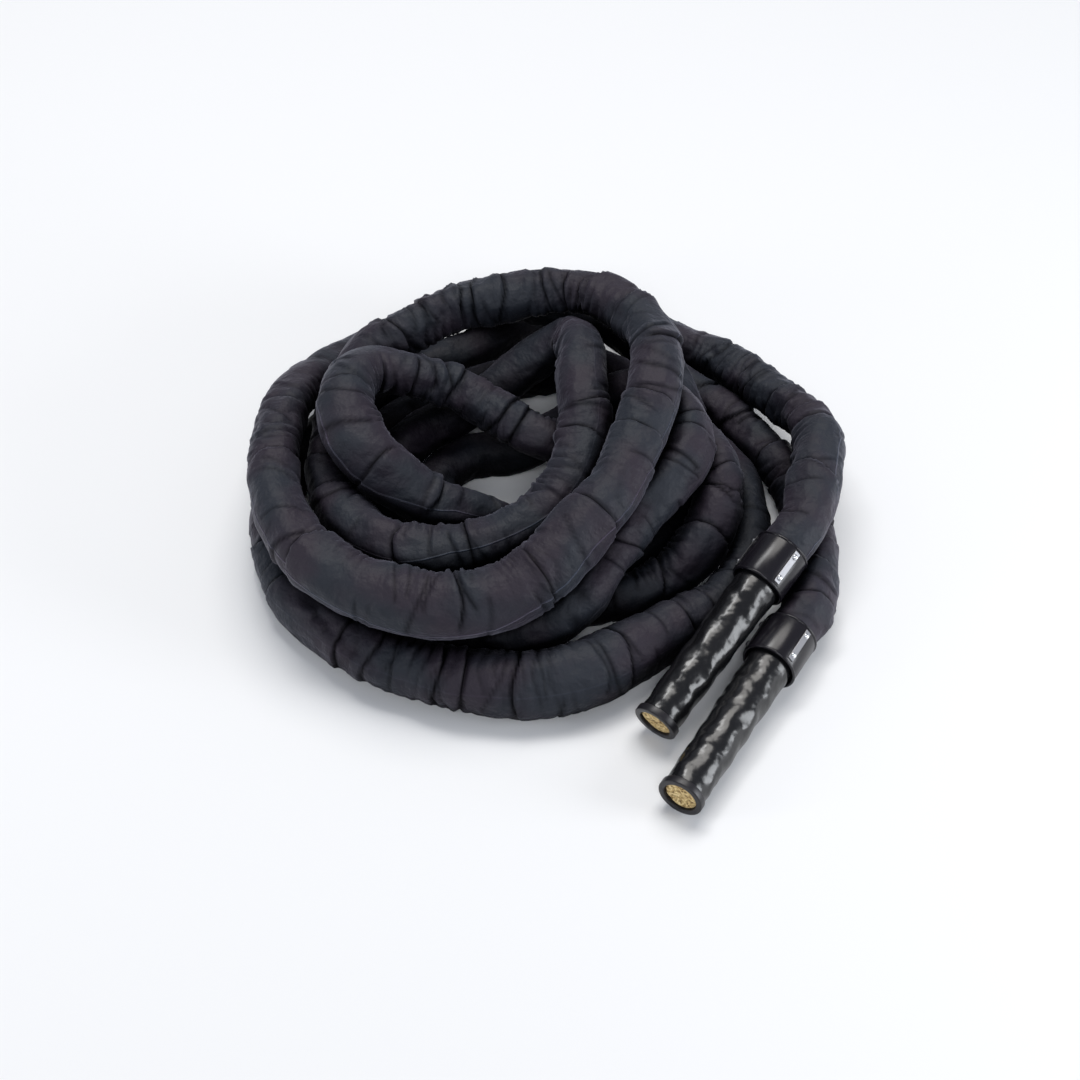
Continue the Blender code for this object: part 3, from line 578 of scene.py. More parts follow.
def rope_material():
    """Golden fibre ends: light and dark specks."""
    recipe = Recipe(bpy.data.materials.new("natural fibre"))
    specks = recipe.noise(330, 4, roughness=0.7)
    colour = recipe.ramp(specks, (0.36, (0.10, 0.05, 0.02)), (0.47, (0.5, 0.34, 0.13)), (0.62, (0.85, 0.68, 0.36)))
    return recipe.finish(Base_Color=colour, Normal=recipe.bump(specks, 0.7, 0.8), Roughness=0.85)


def plain_material(name, colour, roughness, grain, relief=None, **shader):
    """One colour with uneven gloss. The grain is a noise's scale and detail. The relief is the same, with its
    strength and distance."""
    recipe = Recipe(bpy.data.materials.new(name))
    if relief:
        shader["Normal"] = recipe.bump(recipe.noise(*relief[:2]), *relief[2:])
    return recipe.finish(Base_Color=(*colour, 1), Roughness=recipe.spread(recipe.noise(*grain), *roughness), **shader)


MATERIALS = {
    "sleeve": cloth_material(),
    "rope": rope_material(),
    "grip": plain_material("gloss shrink tube", (0.006, 0.006, 0.007), (0.16, 0.30), (60, 3), (120, 1, 0.45, 1.4),
                           Specular_IOR_Level=0.55),
    "ring": plain_material("ring plastic", (0.012, 0.011, 0.014), (0.3, 0.45), (400, 3), (400, 3, 0.05, 0.1),
                           Specular_IOR_Level=0.4),
    "ferrule": plain_material("ferrule plastic", (0.008, 0.007, 0.010), (0.2, 0.28), (260, 3), (260, 3, 0.05, 0.1),
                              Specular_IOR_Level=0.4),
    "plate": plain_material("dull steel", (0.19, 0.19, 0.20), (0.34, 0.5), (700, 2), Metallic=1.0),
    # A darker copy of the plate steel for the second plate: painted shade
    "shaded_copy_plate": plain_material("dull steel with painted shade", (0.09, 0.09, 0.095), (0.45, 0.6), (700, 2), Metallic=1.0),
    "rivet": plain_material("bright steel", (0.8, 0.81, 0.83), (0.18, 0.3), (700, 2), Metallic=1.0),
}

# %% [markdown]
# ## Smooth random values
#
# Each irregularity below comes from a seeded list of random values that is read smoothly, so the scene comes
# out the same each time. A seed has no meaning of its own: it only keeps one irregularity from another.

# %% Smooth random values


def smooth_random(places, seed, count=4096):
    """Smooth values between -1 and 1, with a new random value at each whole number."""
    knots = np.random.default_rng(seed).uniform(-1, 1, count)
    whole = np.floor(places).astype(int)
    part = places - whole
    part = part * part * (3 - 2 * part)
    return knots[whole % count] * (1 - part) + knots[(whole + 1) % count] * part


def round_random(along, turn, pitch, waves, seed):
    """Smooth values on a tube: random along it in steps of the pitch, and closed round it."""
    total = np.zeros(np.broadcast(along, turn).shape)
    for wave in range(waves + 1):
        total = total + smooth_random(along / pitch, seed + 2 * wave) * np.cos(wave * turn)
        total = total + smooth_random(along / pitch, seed + 2 * wave + 1) * np.sin(wave * turn)
    return total / math.sqrt(waves + 1)


def layered_random(along, turn, layers, seed=0):
    """The sum of layers of such values, each with its height, pitch, waves and own seed."""
    return sum(height * round_random(along, turn, pitch, waves, seed + own) for height, pitch, waves, own in layers)


def eased(low, high, value):
    """0 at low, 1 at high, the same past them, and an eased ramp between."""
    part = np.clip((value - low) / (high - low), 0, 1)
    return part * part * (3 - 2 * part)


# %% [markdown]
# ## The sleeve
#
# The sleeve is one mesh: rings of 36 points, close together where the photograph shows the sleeve and
# further apart where it lies hidden. Its shape is the route's width plus five kinds of unevenness:
#
# - lumps, because the rope's strands and the folds inside show through;
# - creases, where the cloth rides up over itself and ends in a sharp curved edge;
# - puckers on the inner side of each bend, where there is too much cloth;
# - gathers, where the sleeve has been pushed together;
# - one long fold, where the cloth hangs slack along the sleeve.
#
# The large creases that the photograph shows are listed one by one. Elsewhere they are drawn at random. The
# seam along the sleeve is only a line in the material: a low relief with a painted highlight.

# %% Sleeve sizes
SLEEVE_SIDES = 36
RING_STEP = 2.2 * MM
HIDDEN_RING_STEP = 8 * MM
STEP_BLEND = 60 * MM

# Each layer of lumps: height, pitch along the sleeve, waves round it, seed
LUMPS = ((1.9 * MM, 36 * MM, 4, 31), (0.8 * MM, 13 * MM, 9, 47))
# Random creases, large and small: the space between them, and the range of each of their sizes
CREASE_SLANT = 12 * MM
CREASE_SPACING = (35 * MM, 110 * MM)
CREASE_RANGES = {"bow": (3 * MM, 11 * MM), "height": (1.2 * MM, 3.0 * MM), "ramp": (14 * MM, 36 * MM),
                 "reach": (-0.2, 0.5)}
SMALL_SPACING = (8 * MM, 24 * MM)
SMALL_RANGES = {"bow": (1 * MM, 5 * MM), "height": (0.6 * MM, 1.5 * MM), "ramp": (5 * MM, 14 * MM),
                "reach": (-0.7, 0.0)}
LISTED_SLANT_SHARE = 0.4
CREASE_CLEAR = 40 * MM
CREASE_SEED = 11
CREASE_WAVER = 2.4 * MM
WAVER_WAVES = 3
CREASE_DROP = 4.5 * MM
CREASE_EDGE = 1.3 * MM
CREASE_FADE_END = 0.6
RAMP_POWER = 1.6
DROPS_REACHED = 6
OVERHANG_SHARE = 0.5
# Painted shade in the groove just behind a crease's edge: how far behind, how wide, and the crease height that gives
# it in full
PAINTED_SHADE_BEHIND_EDGE = 1.6 * MM
PAINTED_SHADE_WIDTH = 2.0 * MM
FULL_PAINTED_SHADE_HEIGHT = 2.2 * MM
# The painted shade in fold valleys, as a share
FOLD_VALLEY_PAINTED_SHADE_SHARE = 0.8
# Rows of folds: how many folds a row drifts by along the sleeve and wanders by round it, and over what length
PUCKERS = {"height": 5.5 * MM, "pitch": 9.5 * MM, "drift": (1.1, 35 * MM), "wander": (0.6, 26 * MM), "seeds": (71, 73)}
GATHERS = {"height": 3.4 * MM, "pitch": 14 * MM, "drift": (1.4, 50 * MM), "wander": (0.8, 45 * MM), "seeds": (83, 89)}
# A fold's strength: its middle, how far it strays, and over what length
PUCKER_STRENGTH = (0.55, 0.6, 13 * MM)
GATHER_STRENGTH = (0.5, 0.6, 22 * MM)
FOLD_STRENGTHS = (0.05, 1.2)
PUCKER_INSIDE = (-0.2, 0.9)
PUCKER_SHEAR = 0.35
STRENGTH_SHEAR = 0.6
RIDGE_MIDDLE = 0.6
VALLEY_POWER = 3
WANDER_WAVES = 3
STRENGTH_WAVES = 2
TIGHT_BEND = 75 * MM
BEND_REACH = 24 * MM
LONG_FOLD = 2.8 * MM
LONG_FOLD_SUNK = 0.8
LONG_FOLD_FADE = 22 * MM
LONG_FOLD_WIDTH = (14 * MM, 9 * MM)
SEAM_FADE = (40 * MM, 130 * MM)
FAINT_SEAM = 0.15
SKIN_OVER_WIDTH = -0.4 * MM
CUFF_BLEND = 26 * MM
BUNCHED_AT_BEND, BUNCHED_AT_GATHER, BUNCHED_ALWAYS = 0.9, 0.8, 0.12
STAND_PROUD = 4 * MM
SLEEVE_RADII = (18.6 * MM, 33 * MM)

# %% Folds that the photograph shows
# Places on the sleeve are across, away and up in pile units. A crease's other values are its height (below
# zero where its edge faces grip A), the length of the swelling and the bow of the edge, all in
# millimetres, and how far round the sleeve it reaches.
CREASES = (
    (291, -16, 100, 3, 40, 12, 0.9), (297, 57, 91, 2.8, 36, 6, 0.9), (291, 82, 83, 2.8, 12, 5, 0.9),
    (269, 116, 69, 2, 14, 4, 0.6), (252, 142, 63, 2.6, 20, 5, 0.8), (241, 149, 56, 2.8, 16, 5, 0.8),
    (209, 199, 48, -1.5, 30, 13, 0.9), (-220, -51, 35, -2, 26, 4, 0.7), (-201, -113, 30, -2, 30, 5, 0.7),
    (-145, -169, 41, 2.2, 26, 6, 0.25), (-115, -189, 44, 1.9, 22, 5, 0.25), (-54, -215, 46, 2.9, 14, 4, 0.25),
    (-29, -211, 52, 3, 14, 5, 0.25), (25, -223, 51, -2.7, 14, 3, 0.25), (111, -197, 51, 2.5, 44, 10, 0.25),
    (164, -142, 49, 2.4, 26, 5, 0.7), (187, -123, 45, 2.8, 20, 6, 0.8), (-176, 72, 80, -1.6, 24, 3, 0.8),
    (-197, -9, 111, -2.6, 36, 10, 0.8), (-166, -122, 110, -3, 48, 13, 0.8), (-38, -175, 116, 2.4, 14, 6, 0),
    (47, -169, 115, 2.6, 12, 4, 0.7), (92, -110, 143, 3, 36, 7, 0.5), (127, -20, 160, 3, 44, 9, 0.5),
    (133, 20, 164, 2, 22, 4, 0.6), (119, 139, 157, 3, 30, 8, 0.7), (90, 176, 149, 3, 44, 12, 0.9),
    (72, 176, 136, 2.2, 16, 6, 0.6), (51, 185, 142, 1.8, 16, 5, 0.6), (4, 181, 138, -2, 26, 3, 0.7),
    (-19, 179, 136, 2.4, 14, 3, 0.7), (-39, 186, 137, -2.4, 14, 3, 0.7), (-74, 187, 126, 2, 16, 3, 0.7),
    (-100, 141, 120, -2.6, 42, 9, 0.9), (-153, -34, 85, -3, 44, 14, 0.8), (-72, -91, 97, -3, 40, 13, 0.8),
    (-18, -95, 101, -2.2, 22, 3, 0.7), (68, 6, 129, 2.2, 14, 4, 0.6), (88, 33, 138, 2.2, 30, 5, 0.8),
    (201, -67, 57, 3, 40, 10, 0.9), (222, -27, 73, 3, 40, 9, 0.9), (188, -19, 69, 2.8, 34, 8, 0.8),
    (223, -2, 78, 3, 22, 10, 0.9), (180, 16, 125, 2.2, 20, 3, 0.5), (180, 30, 126, 2, 10, 3, 0.5),
    (19, 56, 100, -2.2, 12, 4, 0.8), (10, 70, 103, -2.6, 34, 4, 0.9), (-43, 86, 110, -2.8, 26, 5, 0.8),
    (-78, 83, 115, -2.2, 22, 3, 0.8), (-141, 52, 147, -1.8, 26, 4, 0.7), (-109, -34, 109, -2, 30, 4, 0.35),
    (271, 74, 40, -2.6, 30, 7, 0.8), (263, 31, 28, -2.6, 16, 6, 0.8), (299, -78, 45, -1.8, 24, 4, 0.7),
    (294, -130, 50, -2, 22, 4, 0.7),
)
# Places that the seam runs through; its relief and painted highlight show most near them
SEAM_PLACES = (
    (281, -101, 69), (291, -88, 77), (308, -57, 76), (314, -10, 93), (-207, -87, 96), (-179, -131, 90),
    (-152, -157, 80), (-116, -178, 79), (-63, -194, 73), (93, -130, 123), (167, 25, 149), (170, 82, 163),
    (-83, -113, 82), (-38, -111, 92), (-11, -107, 95), (-155, 11, 130), (-145, -11, 118), (-129, -26, 105),
    (-105, -40, 95), (-71, -48, 87), (-35, -46, 77),
)
LONG_FOLD_PLACES = ((-165, -135, 48), (-154, -155, 45), (-140, -171, 43), (-125, -186, 40), (-105, -201, 37))
# Places in the pile where the cloth is pushed together: across, away, height, reach, strength
GATHER_PLACES = (
    (-30, 100, 84, 90, 1.0), (-70, 165, 112, 60, 0.8), (20, 195, 118, 70, 0.5), (-70, -185, 24, 75, 0.7),
    (20, -200, 24, 60, 0.5), (60, -30, 88, 45, 0.7), (-10, -90, 74, 70, 0.5), (250, 164, 38, 60, 0.6),
    (80, 122, 108, 50, 0.4), (118, -60, 110, 50, 0.4), (55, -160, 85, 40, 0.8),
    (255, 140, 60, 70, 0.8), (293, 45, 95, 50, 0.6), (-190, 40, 90, 70, 0.7), (60, -160, 115, 45, 0.6),
)

# %% Rings along the sleeve


def ring_places():
    """Distances along the rope of the sleeve's rings: dense where it shows."""
    run = run_along(ROPE_LINE)
    start, end = SLEEVE_TUBE_START - CUFF_SHOW, run[-1] - SLEEVE_TUBE_START + CUFF_SHOW
    half = round(STEP_BLEND / 2 / (run[1] - run[0]))
    kernel = np.ones(2 * half + 1) / (2 * half + 1)
    loose = np.convolve(np.pad(ROPE_LINE[:, 4], half, mode="edge"), kernel, mode="valid")
    step = np.where(loose > (FIRM + LOOSE) / 2, HIDDEN_RING_STEP, RING_STEP)
    place, places = start, []
    while place < end - RING_STEP:
        places.append(place)
        place += np.interp(place, run, step)
    return np.array([*places, end])


def carried_frames(tangents):
    """Unit ways along, aside and up for each ring, carried along the line without twist."""
    way = tangents / sizes(tangents)[:, None]
    side = np.zeros_like(way)
    side[0] = np.cross(way[0], (0, 0, 1))
    side[0] /= np.linalg.norm(side[0])
    for k in range(1, len(way)):
        side[k] = side[k - 1] - way[k] * (side[k - 1] @ way[k])
        side[k] /= np.linalg.norm(side[k])
    return way, side, np.cross(way, side)


def turns(sides):
    """Angles round a ring, as one row."""
    return np.linspace(0, math.tau, sides, endpoint=False)[None, :]


def round_ring(radius, turn, side, up):
    """Points round each ring at a radius, seen from the ring's centre."""
    return radius[..., None] * (np.cos(turn)[..., None] * side[:, None, :] + np.sin(turn)[..., None] * up[:, None, :])


def bend_of(line):
    """The way each point's bend faces inward, scaled by how tight it is (1 at TIGHT_BEND)."""
    gap = round(BEND_REACH / LINE_STEP)
    padded = np.pad(line[:, :3], ((gap, gap), (0, 0)), mode="reflect", reflect_type="odd")
    bend = (padded[2 * gap:] + padded[:-2 * gap] - 2 * padded[gap:-gap]) / BEND_REACH ** 2
    return bend * TIGHT_BEND


# %% [markdown]
# A crease is a saw tooth: the cloth swells over a ramp, ends in an edge that leans over, and drops into a
# groove. The edge is bowed, wavers a little, and fades on the far side of the sleeve.

# %% Creases, puckers, gathers, the long fold and the seam


def on_sleeve(spot, frames):
    """The ring nearest to a place, and the place's bearing round it. The frames are the rings' centres, ways
    aside and ways up."""
    centres, side, up = frames
    away = np.array(spot) * PILE_UNIT + PILE_SHIFT - centres
    ring = int(sizes(away).argmin())
    return ring, math.atan2(away[ring] @ up[ring], away[ring] @ side[ring])


def random_creases(rng, length, spacing, ranges):
    """Creases at random places along the sleeve, each size drawn from its range."""
    place = rng.uniform(*spacing)
    while place < length:
        crease = {name: rng.uniform(*span) for name, span in ranges.items()}
        crease["slant"] = rng.uniform(-CREASE_SLANT, CREASE_SLANT)
        yield crease | {"place": place, "facing": rng.uniform(0, math.tau), "way": rng.choice((-1, 1))}
        place += rng.uniform(*spacing)


def crease_list(along, frames):
    """The creases in the photograph, random ones where it shows none, and small ones everywhere."""
    rng = np.random.default_rng(CREASE_SEED)
    creases = []
    for x, y, z, height, ramp, bow, reach in CREASES:
        ring, facing = on_sleeve((x, y, z), frames)
        creases.append({"place": along[ring], "facing": facing, "bow": bow * MM, "height": abs(height) * MM,
                        "ramp": ramp * MM, "way": math.copysign(1, height), "reach": reach,
                        "slant": rng.uniform(-LISTED_SLANT_SHARE, LISTED_SLANT_SHARE) * CREASE_SLANT})
    taken = np.array([crease["place"] for crease in creases])
    creases += [crease for crease in random_creases(rng, along[-1], CREASE_SPACING, CREASE_RANGES)
                if np.abs(taken - crease["place"]).min() > CREASE_CLEAR]
    creases += random_creases(rng, along[-1], SMALL_SPACING, SMALL_RANGES)
    return creases


def add_creases(creases, along, turn, out, ahead, dark):
    """Adds every crease to the points' shift outwards and lengthwise, and its painted shade in the groove to dark."""
    for number, crease in enumerate(creases):
        facing = turn - crease["facing"]
        edge = crease["place"] + crease["way"] * crease["bow"] * np.cos(facing) + crease["slant"] * np.sin(facing)
        edge = edge + CREASE_WAVER * round_random(np.zeros_like(turn), turn, 1, WAVER_WAVES, 900 + 20 * number)
        reach = crease["ramp"] + crease["bow"] + abs(crease["slant"]) + DROPS_REACHED * CREASE_DROP
        near = np.abs(along[:, 0] - crease["place"]) < reach
        behind = crease["way"] * (edge - along[near])
        fade = eased(-crease["reach"], CREASE_FADE_END, np.cos(facing))
        raised = eased(-CREASE_EDGE, CREASE_EDGE, behind)
        ramp = np.clip(1 - behind / crease["ramp"], 0, 1) ** RAMP_POWER
        groove = np.exp(-np.abs(behind) / CREASE_DROP)
        out[near] += crease["height"] * fade * (raised * ramp - (1 - raised) * groove)
        lip = raised * np.exp(-(behind / CREASE_DROP) ** 2)
        ahead[near] += crease["way"] * crease["height"] * OVERHANG_SHARE * fade * lip
        # Painted shade: a dark line in the groove just behind the edge
        line = np.exp(-((behind + PAINTED_SHADE_BEHIND_EDGE) / PAINTED_SHADE_WIDTH) ** 2)
        dark[near] = np.maximum(dark[near], min(1, crease["height"] / FULL_PAINTED_SHADE_HEIGHT) * fade * line)


def fold_row(along, turn, row, strength, shear=0):
    """Rounded ridges in a row that drifts and wanders, and the painted shade in the sharp valleys between them."""
    (drift, drift_length), (wander, wander_length) = row["drift"], row["wander"]
    phase = along / row["pitch"] + drift * smooth_random(along / drift_length, row["seeds"][0]) + shear
    phase = phase + wander * round_random(along, turn, wander_length, WANDER_WAVES, row["seeds"][1])
    wave = np.abs(np.sin(math.pi * phase))
    return row["height"] * strength * (wave - RIDGE_MIDDLE), strength * (1 - wave) ** VALLEY_POWER


def pucker_shift(along, turn, inner_turn, tightness):
    """Folds across the inner side of each bend, and the painted shade in their valleys."""
    facing = turn - inner_turn
    middle, stray, length = PUCKER_STRENGTH
    uneven = middle + stray * smooth_random(along / length + STRENGTH_SHEAR * np.sin(turn), 79)
    inside = np.clip(tightness, 0, FOLD_STRENGTHS[1]) * eased(*PUCKER_INSIDE, np.cos(facing))
    return fold_row(along, turn, PUCKERS, inside * np.clip(uneven, *FOLD_STRENGTHS), PUCKER_SHEAR * np.sin(2 * facing))


def gather_shift(along, turn, strength):
    """Folds all round the sleeve where it is pushed together, and the painted shade in their valleys."""
    middle, stray, length = GATHER_STRENGTH
    uneven = middle + stray * round_random(along, turn, length, STRENGTH_WAVES, 97)
    return fold_row(along, turn, GATHERS, strength * np.clip(uneven, *FOLD_STRENGTHS))


def gather_strength(centres):
    """How far the cloth is pushed together at each ring: in full up to half the reach of a gather."""
    strength = np.zeros(len(centres))
    for *place, reach, force in GATHER_PLACES:
        distance = sizes((centres - PILE_SHIFT) / PILE_UNIT - place)
        strength = np.maximum(strength, force * eased(reach, reach / 2, distance))
    return strength


def bearing_from(spots, along, turn, frames):
    """A line along the sleeve through the given places: its ends, and each point's angle past it."""
    found = sorted(on_sleeve(spot, frames) for spot in spots)
    rings = [ring for ring, _ in found]
    bearings = np.unwrap([bearing for _, bearing in found])
    line = np.interp(along[:, 0], along[rings, 0], bearings)[:, None]
    return along[rings[0], 0], along[rings[-1], 0], (turn - line + math.pi) % math.tau - math.pi


def long_fold_shift(along, turn, radius, frames):
    """Slack cloth that hangs over along the sleeve: raised on one side of a line and sunk on the other."""
    start, end, past = bearing_from(LONG_FOLD_PLACES, along, turn, frames)
    across = past * radius
    fade = eased(start - LONG_FOLD_FADE, start, along) * (1 - eased(end, end + LONG_FOLD_FADE, along))
    raised = np.exp(-np.abs(across) / LONG_FOLD_WIDTH[0]) * (across >= 0)
    sunk = np.exp(-np.abs(across) / LONG_FOLD_WIDTH[1]) * (across < 0)
    return LONG_FOLD * fade * (raised - LONG_FOLD_SUNK * sunk)


def seam_shades(along, turn, frames):
    """Where the seam runs, for the material: each point's sideways way from it, as a sine and a cosine, and
    how strongly the seam's relief and painted highlight show there."""
    past = bearing_from(SEAM_PLACES, along, turn, frames)[2]
    rings = [on_sleeve(spot, frames)[0] for spot in SEAM_PLACES]
    apart = np.abs(along - along[rings].T).min(axis=1, keepdims=True)
    shown = np.maximum(1 - eased(*SEAM_FADE, apart), FAINT_SEAM)
    return {"seam_sine": np.sin(past), "seam_cosine": np.cos(past), "seam_shown": shown * np.ones_like(past)}


# %% The sleeve's mesh


def sleeve_rings():
    """The rings' centres, their points, and the named values at each point for the material."""
    places = ring_places()
    rows = read_at(np.column_stack([ROPE_LINE, np.gradient(ROPE_LINE[:, :3], axis=0), bend_of(ROPE_LINE)]), places)
    centres, tangents, bend = rows[:, :3], rows[:, 5:8], rows[:, 8:]
    way, side, up = carried_frames(tangents)
    frames = centres, side, up
    along, turn = places[:, None] - places[0], turns(SLEEVE_SIDES)
    inner_turn = np.arctan2((bend * up).sum(axis=1), (bend * side).sum(axis=1))[:, None]
    tightness = sizes(bend)[:, None]
    radius = rows[:, 3:4] / 2 + SKIN_OVER_WIDTH
    out = layered_random(along, turn, LUMPS)
    puckers, pucker_painted_shade = pucker_shift(along, turn, inner_turn, tightness)
    gathered = gather_strength(centres)[:, None]
    gathers, gather_painted_shade = gather_shift(along, turn, gathered)
    # Painted shade in the valleys of the puckers and gathers
    dark = FOLD_VALLEY_PAINTED_SHADE_SHARE * np.clip(np.maximum(pucker_painted_shade, gather_painted_shade), 0, 1)
    out = out + puckers + gathers + long_fold_shift(along, turn, radius, frames)
    ahead = np.zeros_like(out)
    add_creases(crease_list(along[:, 0], frames), along, turn, out, ahead, dark)
    out = np.clip(radius + np.minimum(out, STAND_PROUD), *SLEEVE_RADII) - radius
    # The cloth comes out of the ferrule as a narrow cuff and swells to its own width
    opening = eased(0, 1, np.minimum(along, along[-1] - along) / CUFF_BLEND)
    size = CUFF_RADIUS - SEAT_GAP + (radius + out - CUFF_RADIUS + SEAT_GAP) * opening
    rings = centres[:, None, :] + round_ring(size, turn, side, up) + (ahead * opening)[..., None] * way[:, None, :]
    # The material has finer folds where a bend or a gather bunches the cloth
    bunched = BUNCHED_AT_BEND * np.clip(np.cos(turn - inner_turn), 0, 1) * np.clip(tightness, 0, 1)
    folds = np.clip(BUNCHED_ALWAYS + np.maximum(bunched, BUNCHED_AT_GATHER * gathered), 0, 1)
    return centres, rings, {"folds": folds, "dark": dark} | seam_shades(along, turn, frames)


centres, rings, shades = sleeve_rings()
# Cloth that would sink into the ground lies flat on it
rings[..., 2] = np.maximum(rings[..., 2], 0)
sleeve = finish_mesh("sleeve_cloth", ring_tube(rings, shades), "sleeve", "sleeve")
sleeve_length = float(run_along(centres)[-1])
tuple(centres[0])
[tuple(spot) for spot in centres]

# %% [markdown]
# ## The rope inside
#
# Three strands twisted together. They fill the sleeve all the way, though only their ends show.

# %% Rope
ROPE_SIDES = 18
ROPE_RING_STEP = 9 * MM
STRAND_GROOVE = 2.2 * MM
ROPE_LAY = 105 * MM
ROPE_UNDER_CLOTH = 2.2 * MM
ROPE_UNDER_GRIP = 1.8 * MM
ROPE_INSET = 2 * MM


def add_rope():
    run = run_along(ROPE_LINE)
    inset = GRIP_START + ROPE_INSET
    places = np.arange(inset, run[-1] - inset, ROPE_RING_STEP)
    line = read_at(ROPE_LINE, places)[:, :3]
    _, side, up = carried_frames(np.gradient(line, axis=0))
    turn = turns(ROPE_SIDES)
    strand = np.abs(np.sin(ROPE_STRANDS / 2 * (turn + math.tau * places[:, None] / ROPE_LAY)))
    from_end = np.minimum(places - places[0], places[-1] - places)
    thin = GRIP_TIP_SHRINK * (1 - eased(0, FERRULE_START, from_end))
    thin = thin + ROPE_UNDER_GRIP * (1 - eased(GRIP_END, FERRULE_END, from_end))
    radius = (ROPE_RADIUS - ROPE_UNDER_CLOTH - thin)[:, None] - STRAND_GROOVE * (1 - strand)
    rings = line[:, None, :] + round_ring(radius, turn, side, up)
    finish_mesh("laid_rope", ring_tube(rings), "rope", "rope_core")


add_rope()

# %% [markdown]
# ## Grips
#
# Each grip is a plastic tube shrunk onto three strands. It follows them in slow screw-shaped waves and is
# dented between them, which breaks up its reflections.

# %% Grips
GRIP_SIDES = 96
GRIP_RING_STEP = 1.6 * MM
GRIP_WAVE = 0.45 * MM
# Each layer of dents: depth, pitch along the grip, waves round it, seed
GRIP_DENTS = ((0.42 * MM, 8 * MM, 7, 0), (0.42 * MM, 24 * MM, 3, 20))
FLAT_AT_RING, FLAT_AT_FERRULE = 12 * MM, 8 * MM


def add_grip(letter):
    lower = GRIP_START + END_RING_SKIRT
    heights, turn = np.arange(GRIP_START, GRIP_END, GRIP_RING_STEP)[:, None], turns(GRIP_SIDES)
    shrink = GRIP_TIP_SHRINK * np.clip((FERRULE_START - heights) / (FERRULE_START - GRIP_START), 0, 1)
    waving = eased(lower, lower + FLAT_AT_RING, heights)
    waving = waving * (1 - eased(FERRULE_START - FLAT_AT_FERRULE, FERRULE_START, heights))
    strand = np.cos(ROPE_STRANDS * (turn + math.tau * heights / GRIP_RIPPLE_PITCH))
    dents = layered_random(heights, turn, GRIP_DENTS, 300 + 50 * ord(letter))
    radius = GRIP_RADIUS - shrink + waving * (GRIP_WAVE * strand + dents)
    rings = np.stack([radius * np.cos(turn), radius * np.sin(turn), np.broadcast_to(heights, radius.shape)], axis=2)
    shape = ring_tube(rings)
    shape.transform(END_FRAMES[letter])
    finish_mesh(f"grip_skin_{letter}", shape, "grip", f"grip_{letter}")


# %% [markdown]
# ## Rings, ferrules, plates and rivets
#
# Rings, ferrules and rivets are turned from the CAD model's profiles, with rounded edges and more sides.
# The plates are the CAD model's own, so they only get a material.

# %% Rings and ferrules
TURNED_SIDES = 96
ARC_POINTS = 5
LIP_POINTS = 14
LIP_TURN = 0.35 * math.pi


def add_end_ring(letter):
    inside, outside, bore = RING_BORE_RADIUS, RING_RADIUS, END_RING_BORE / 2
    top, r, quarter = GRIP_START + END_RING_SKIRT, END_RING_ROUNDING, math.pi / 2
    shape = turned([(inside, END_RING_FACE), (inside, top),
                    *arc((outside - r, top - r), r, quarter, 0, ARC_POINTS),
                    *arc((outside - r, r), r, 0, -quarter, ARC_POINTS),
                    *arc((bore + r, r), r, -quarter, -math.pi, ARC_POINTS), (bore, END_RING_FACE)], TURNED_SIDES)
    shape.transform(END_FRAMES[letter])
    finish_mesh(f"ring_{letter}", shape, "ring", f"end_ring_{letter}", sharp_degrees=50)


def add_ferrule(letter):
    low, high, r = FERRULE_START, FERRULE_END, FERRULE_LIP_LENGTH / 2
    lip, bore = FERRULE_RADIUS + FERRULE_LIP, CUFF_RADIUS + SEAT_GAP
    shape = turned([(bore, low + r), *arc((lip - r, low + r), r, -math.pi, LIP_TURN, LIP_POINTS),
                    (FERRULE_RADIUS, low + 2 * r + FERRULE_LIP), (FERRULE_RADIUS, high - 2 * r - FERRULE_LIP),
                    *arc((lip - r, high - r), r, -LIP_TURN, math.pi, LIP_POINTS), (bore, high - r)], TURNED_SIDES)
    shape.transform(END_FRAMES[letter])
    finish_mesh(f"ferrule_shell_{letter}", shape, "ferrule", f"ferrule_{letter}", sharp_degrees=60)


# %% Plates and rivets
RIVET_SIDES = 32
DOME_POINTS = 7


def rivet_frames():
    """Each rivet's number, place and material. The second plate's rivets take the plate steel, a darker copy
    of the rivet steel: painted shade that keeps them from glinting.
    """
    seat = FERRULE_RADIUS * math.cos(math.pi / FERRULE_SIDES) + PLATE_THICKNESS + 2 * SEAT_GAP
    middle = (FERRULE_START + FERRULE_END) / 2
    number = 0
    for bearing, material in zip(PLATE_BEARINGS, ("rivet", "plate")):
        for side in (-1, 1):
            number += 1
            place = Matrix.Translation((seat * math.cos(bearing), seat * math.sin(bearing),
                                        middle + side * RIVET_SPACING / 2))
            yield number, place @ Matrix.Rotation(bearing, 4, "Z") @ Matrix.Rotation(math.pi / 2, 4, "Y"), material


def add_rivets(letter):
    head = RIVET_HEAD_WIDTH / 2
    dome = arc((0, 0), 1, 0, math.pi / 2, DOME_POINTS)
    profile = [(0, -SEAT_GAP), (head, -SEAT_GAP), *((head * x, RIVET_HEAD_HEIGHT * y) for x, y in dome)]
    for number, place, material in rivet_frames():
        shape = turned(profile, RIVET_SIDES)
        shape.transform(END_FRAMES[letter] @ place)
        finish_mesh(f"rivet_head_{letter}{number}", shape, "steel", f"rivet_{letter}{number}",
                    sharp_degrees=60, material=material)


def dress_node(name, material):
    """Gives a CAD node that stays in sight one of this scene's materials."""
    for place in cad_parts[name].material_slots:
        place.material = MATERIALS[material]


# %% [markdown]
# ## The cut ends of the rope
#
# The rope is cut square and its three strands fill the ring, each with a low cushion of fibre ends.

# %% Rope ends
ROPE_END_STEPS = 48
STRAND_MOUND = 0.9 * MM
FIBRE_ROUGHNESS = 0.35 * MM
RIM_SHARE = 0.15
MOUND_START_SHARE = 0.4


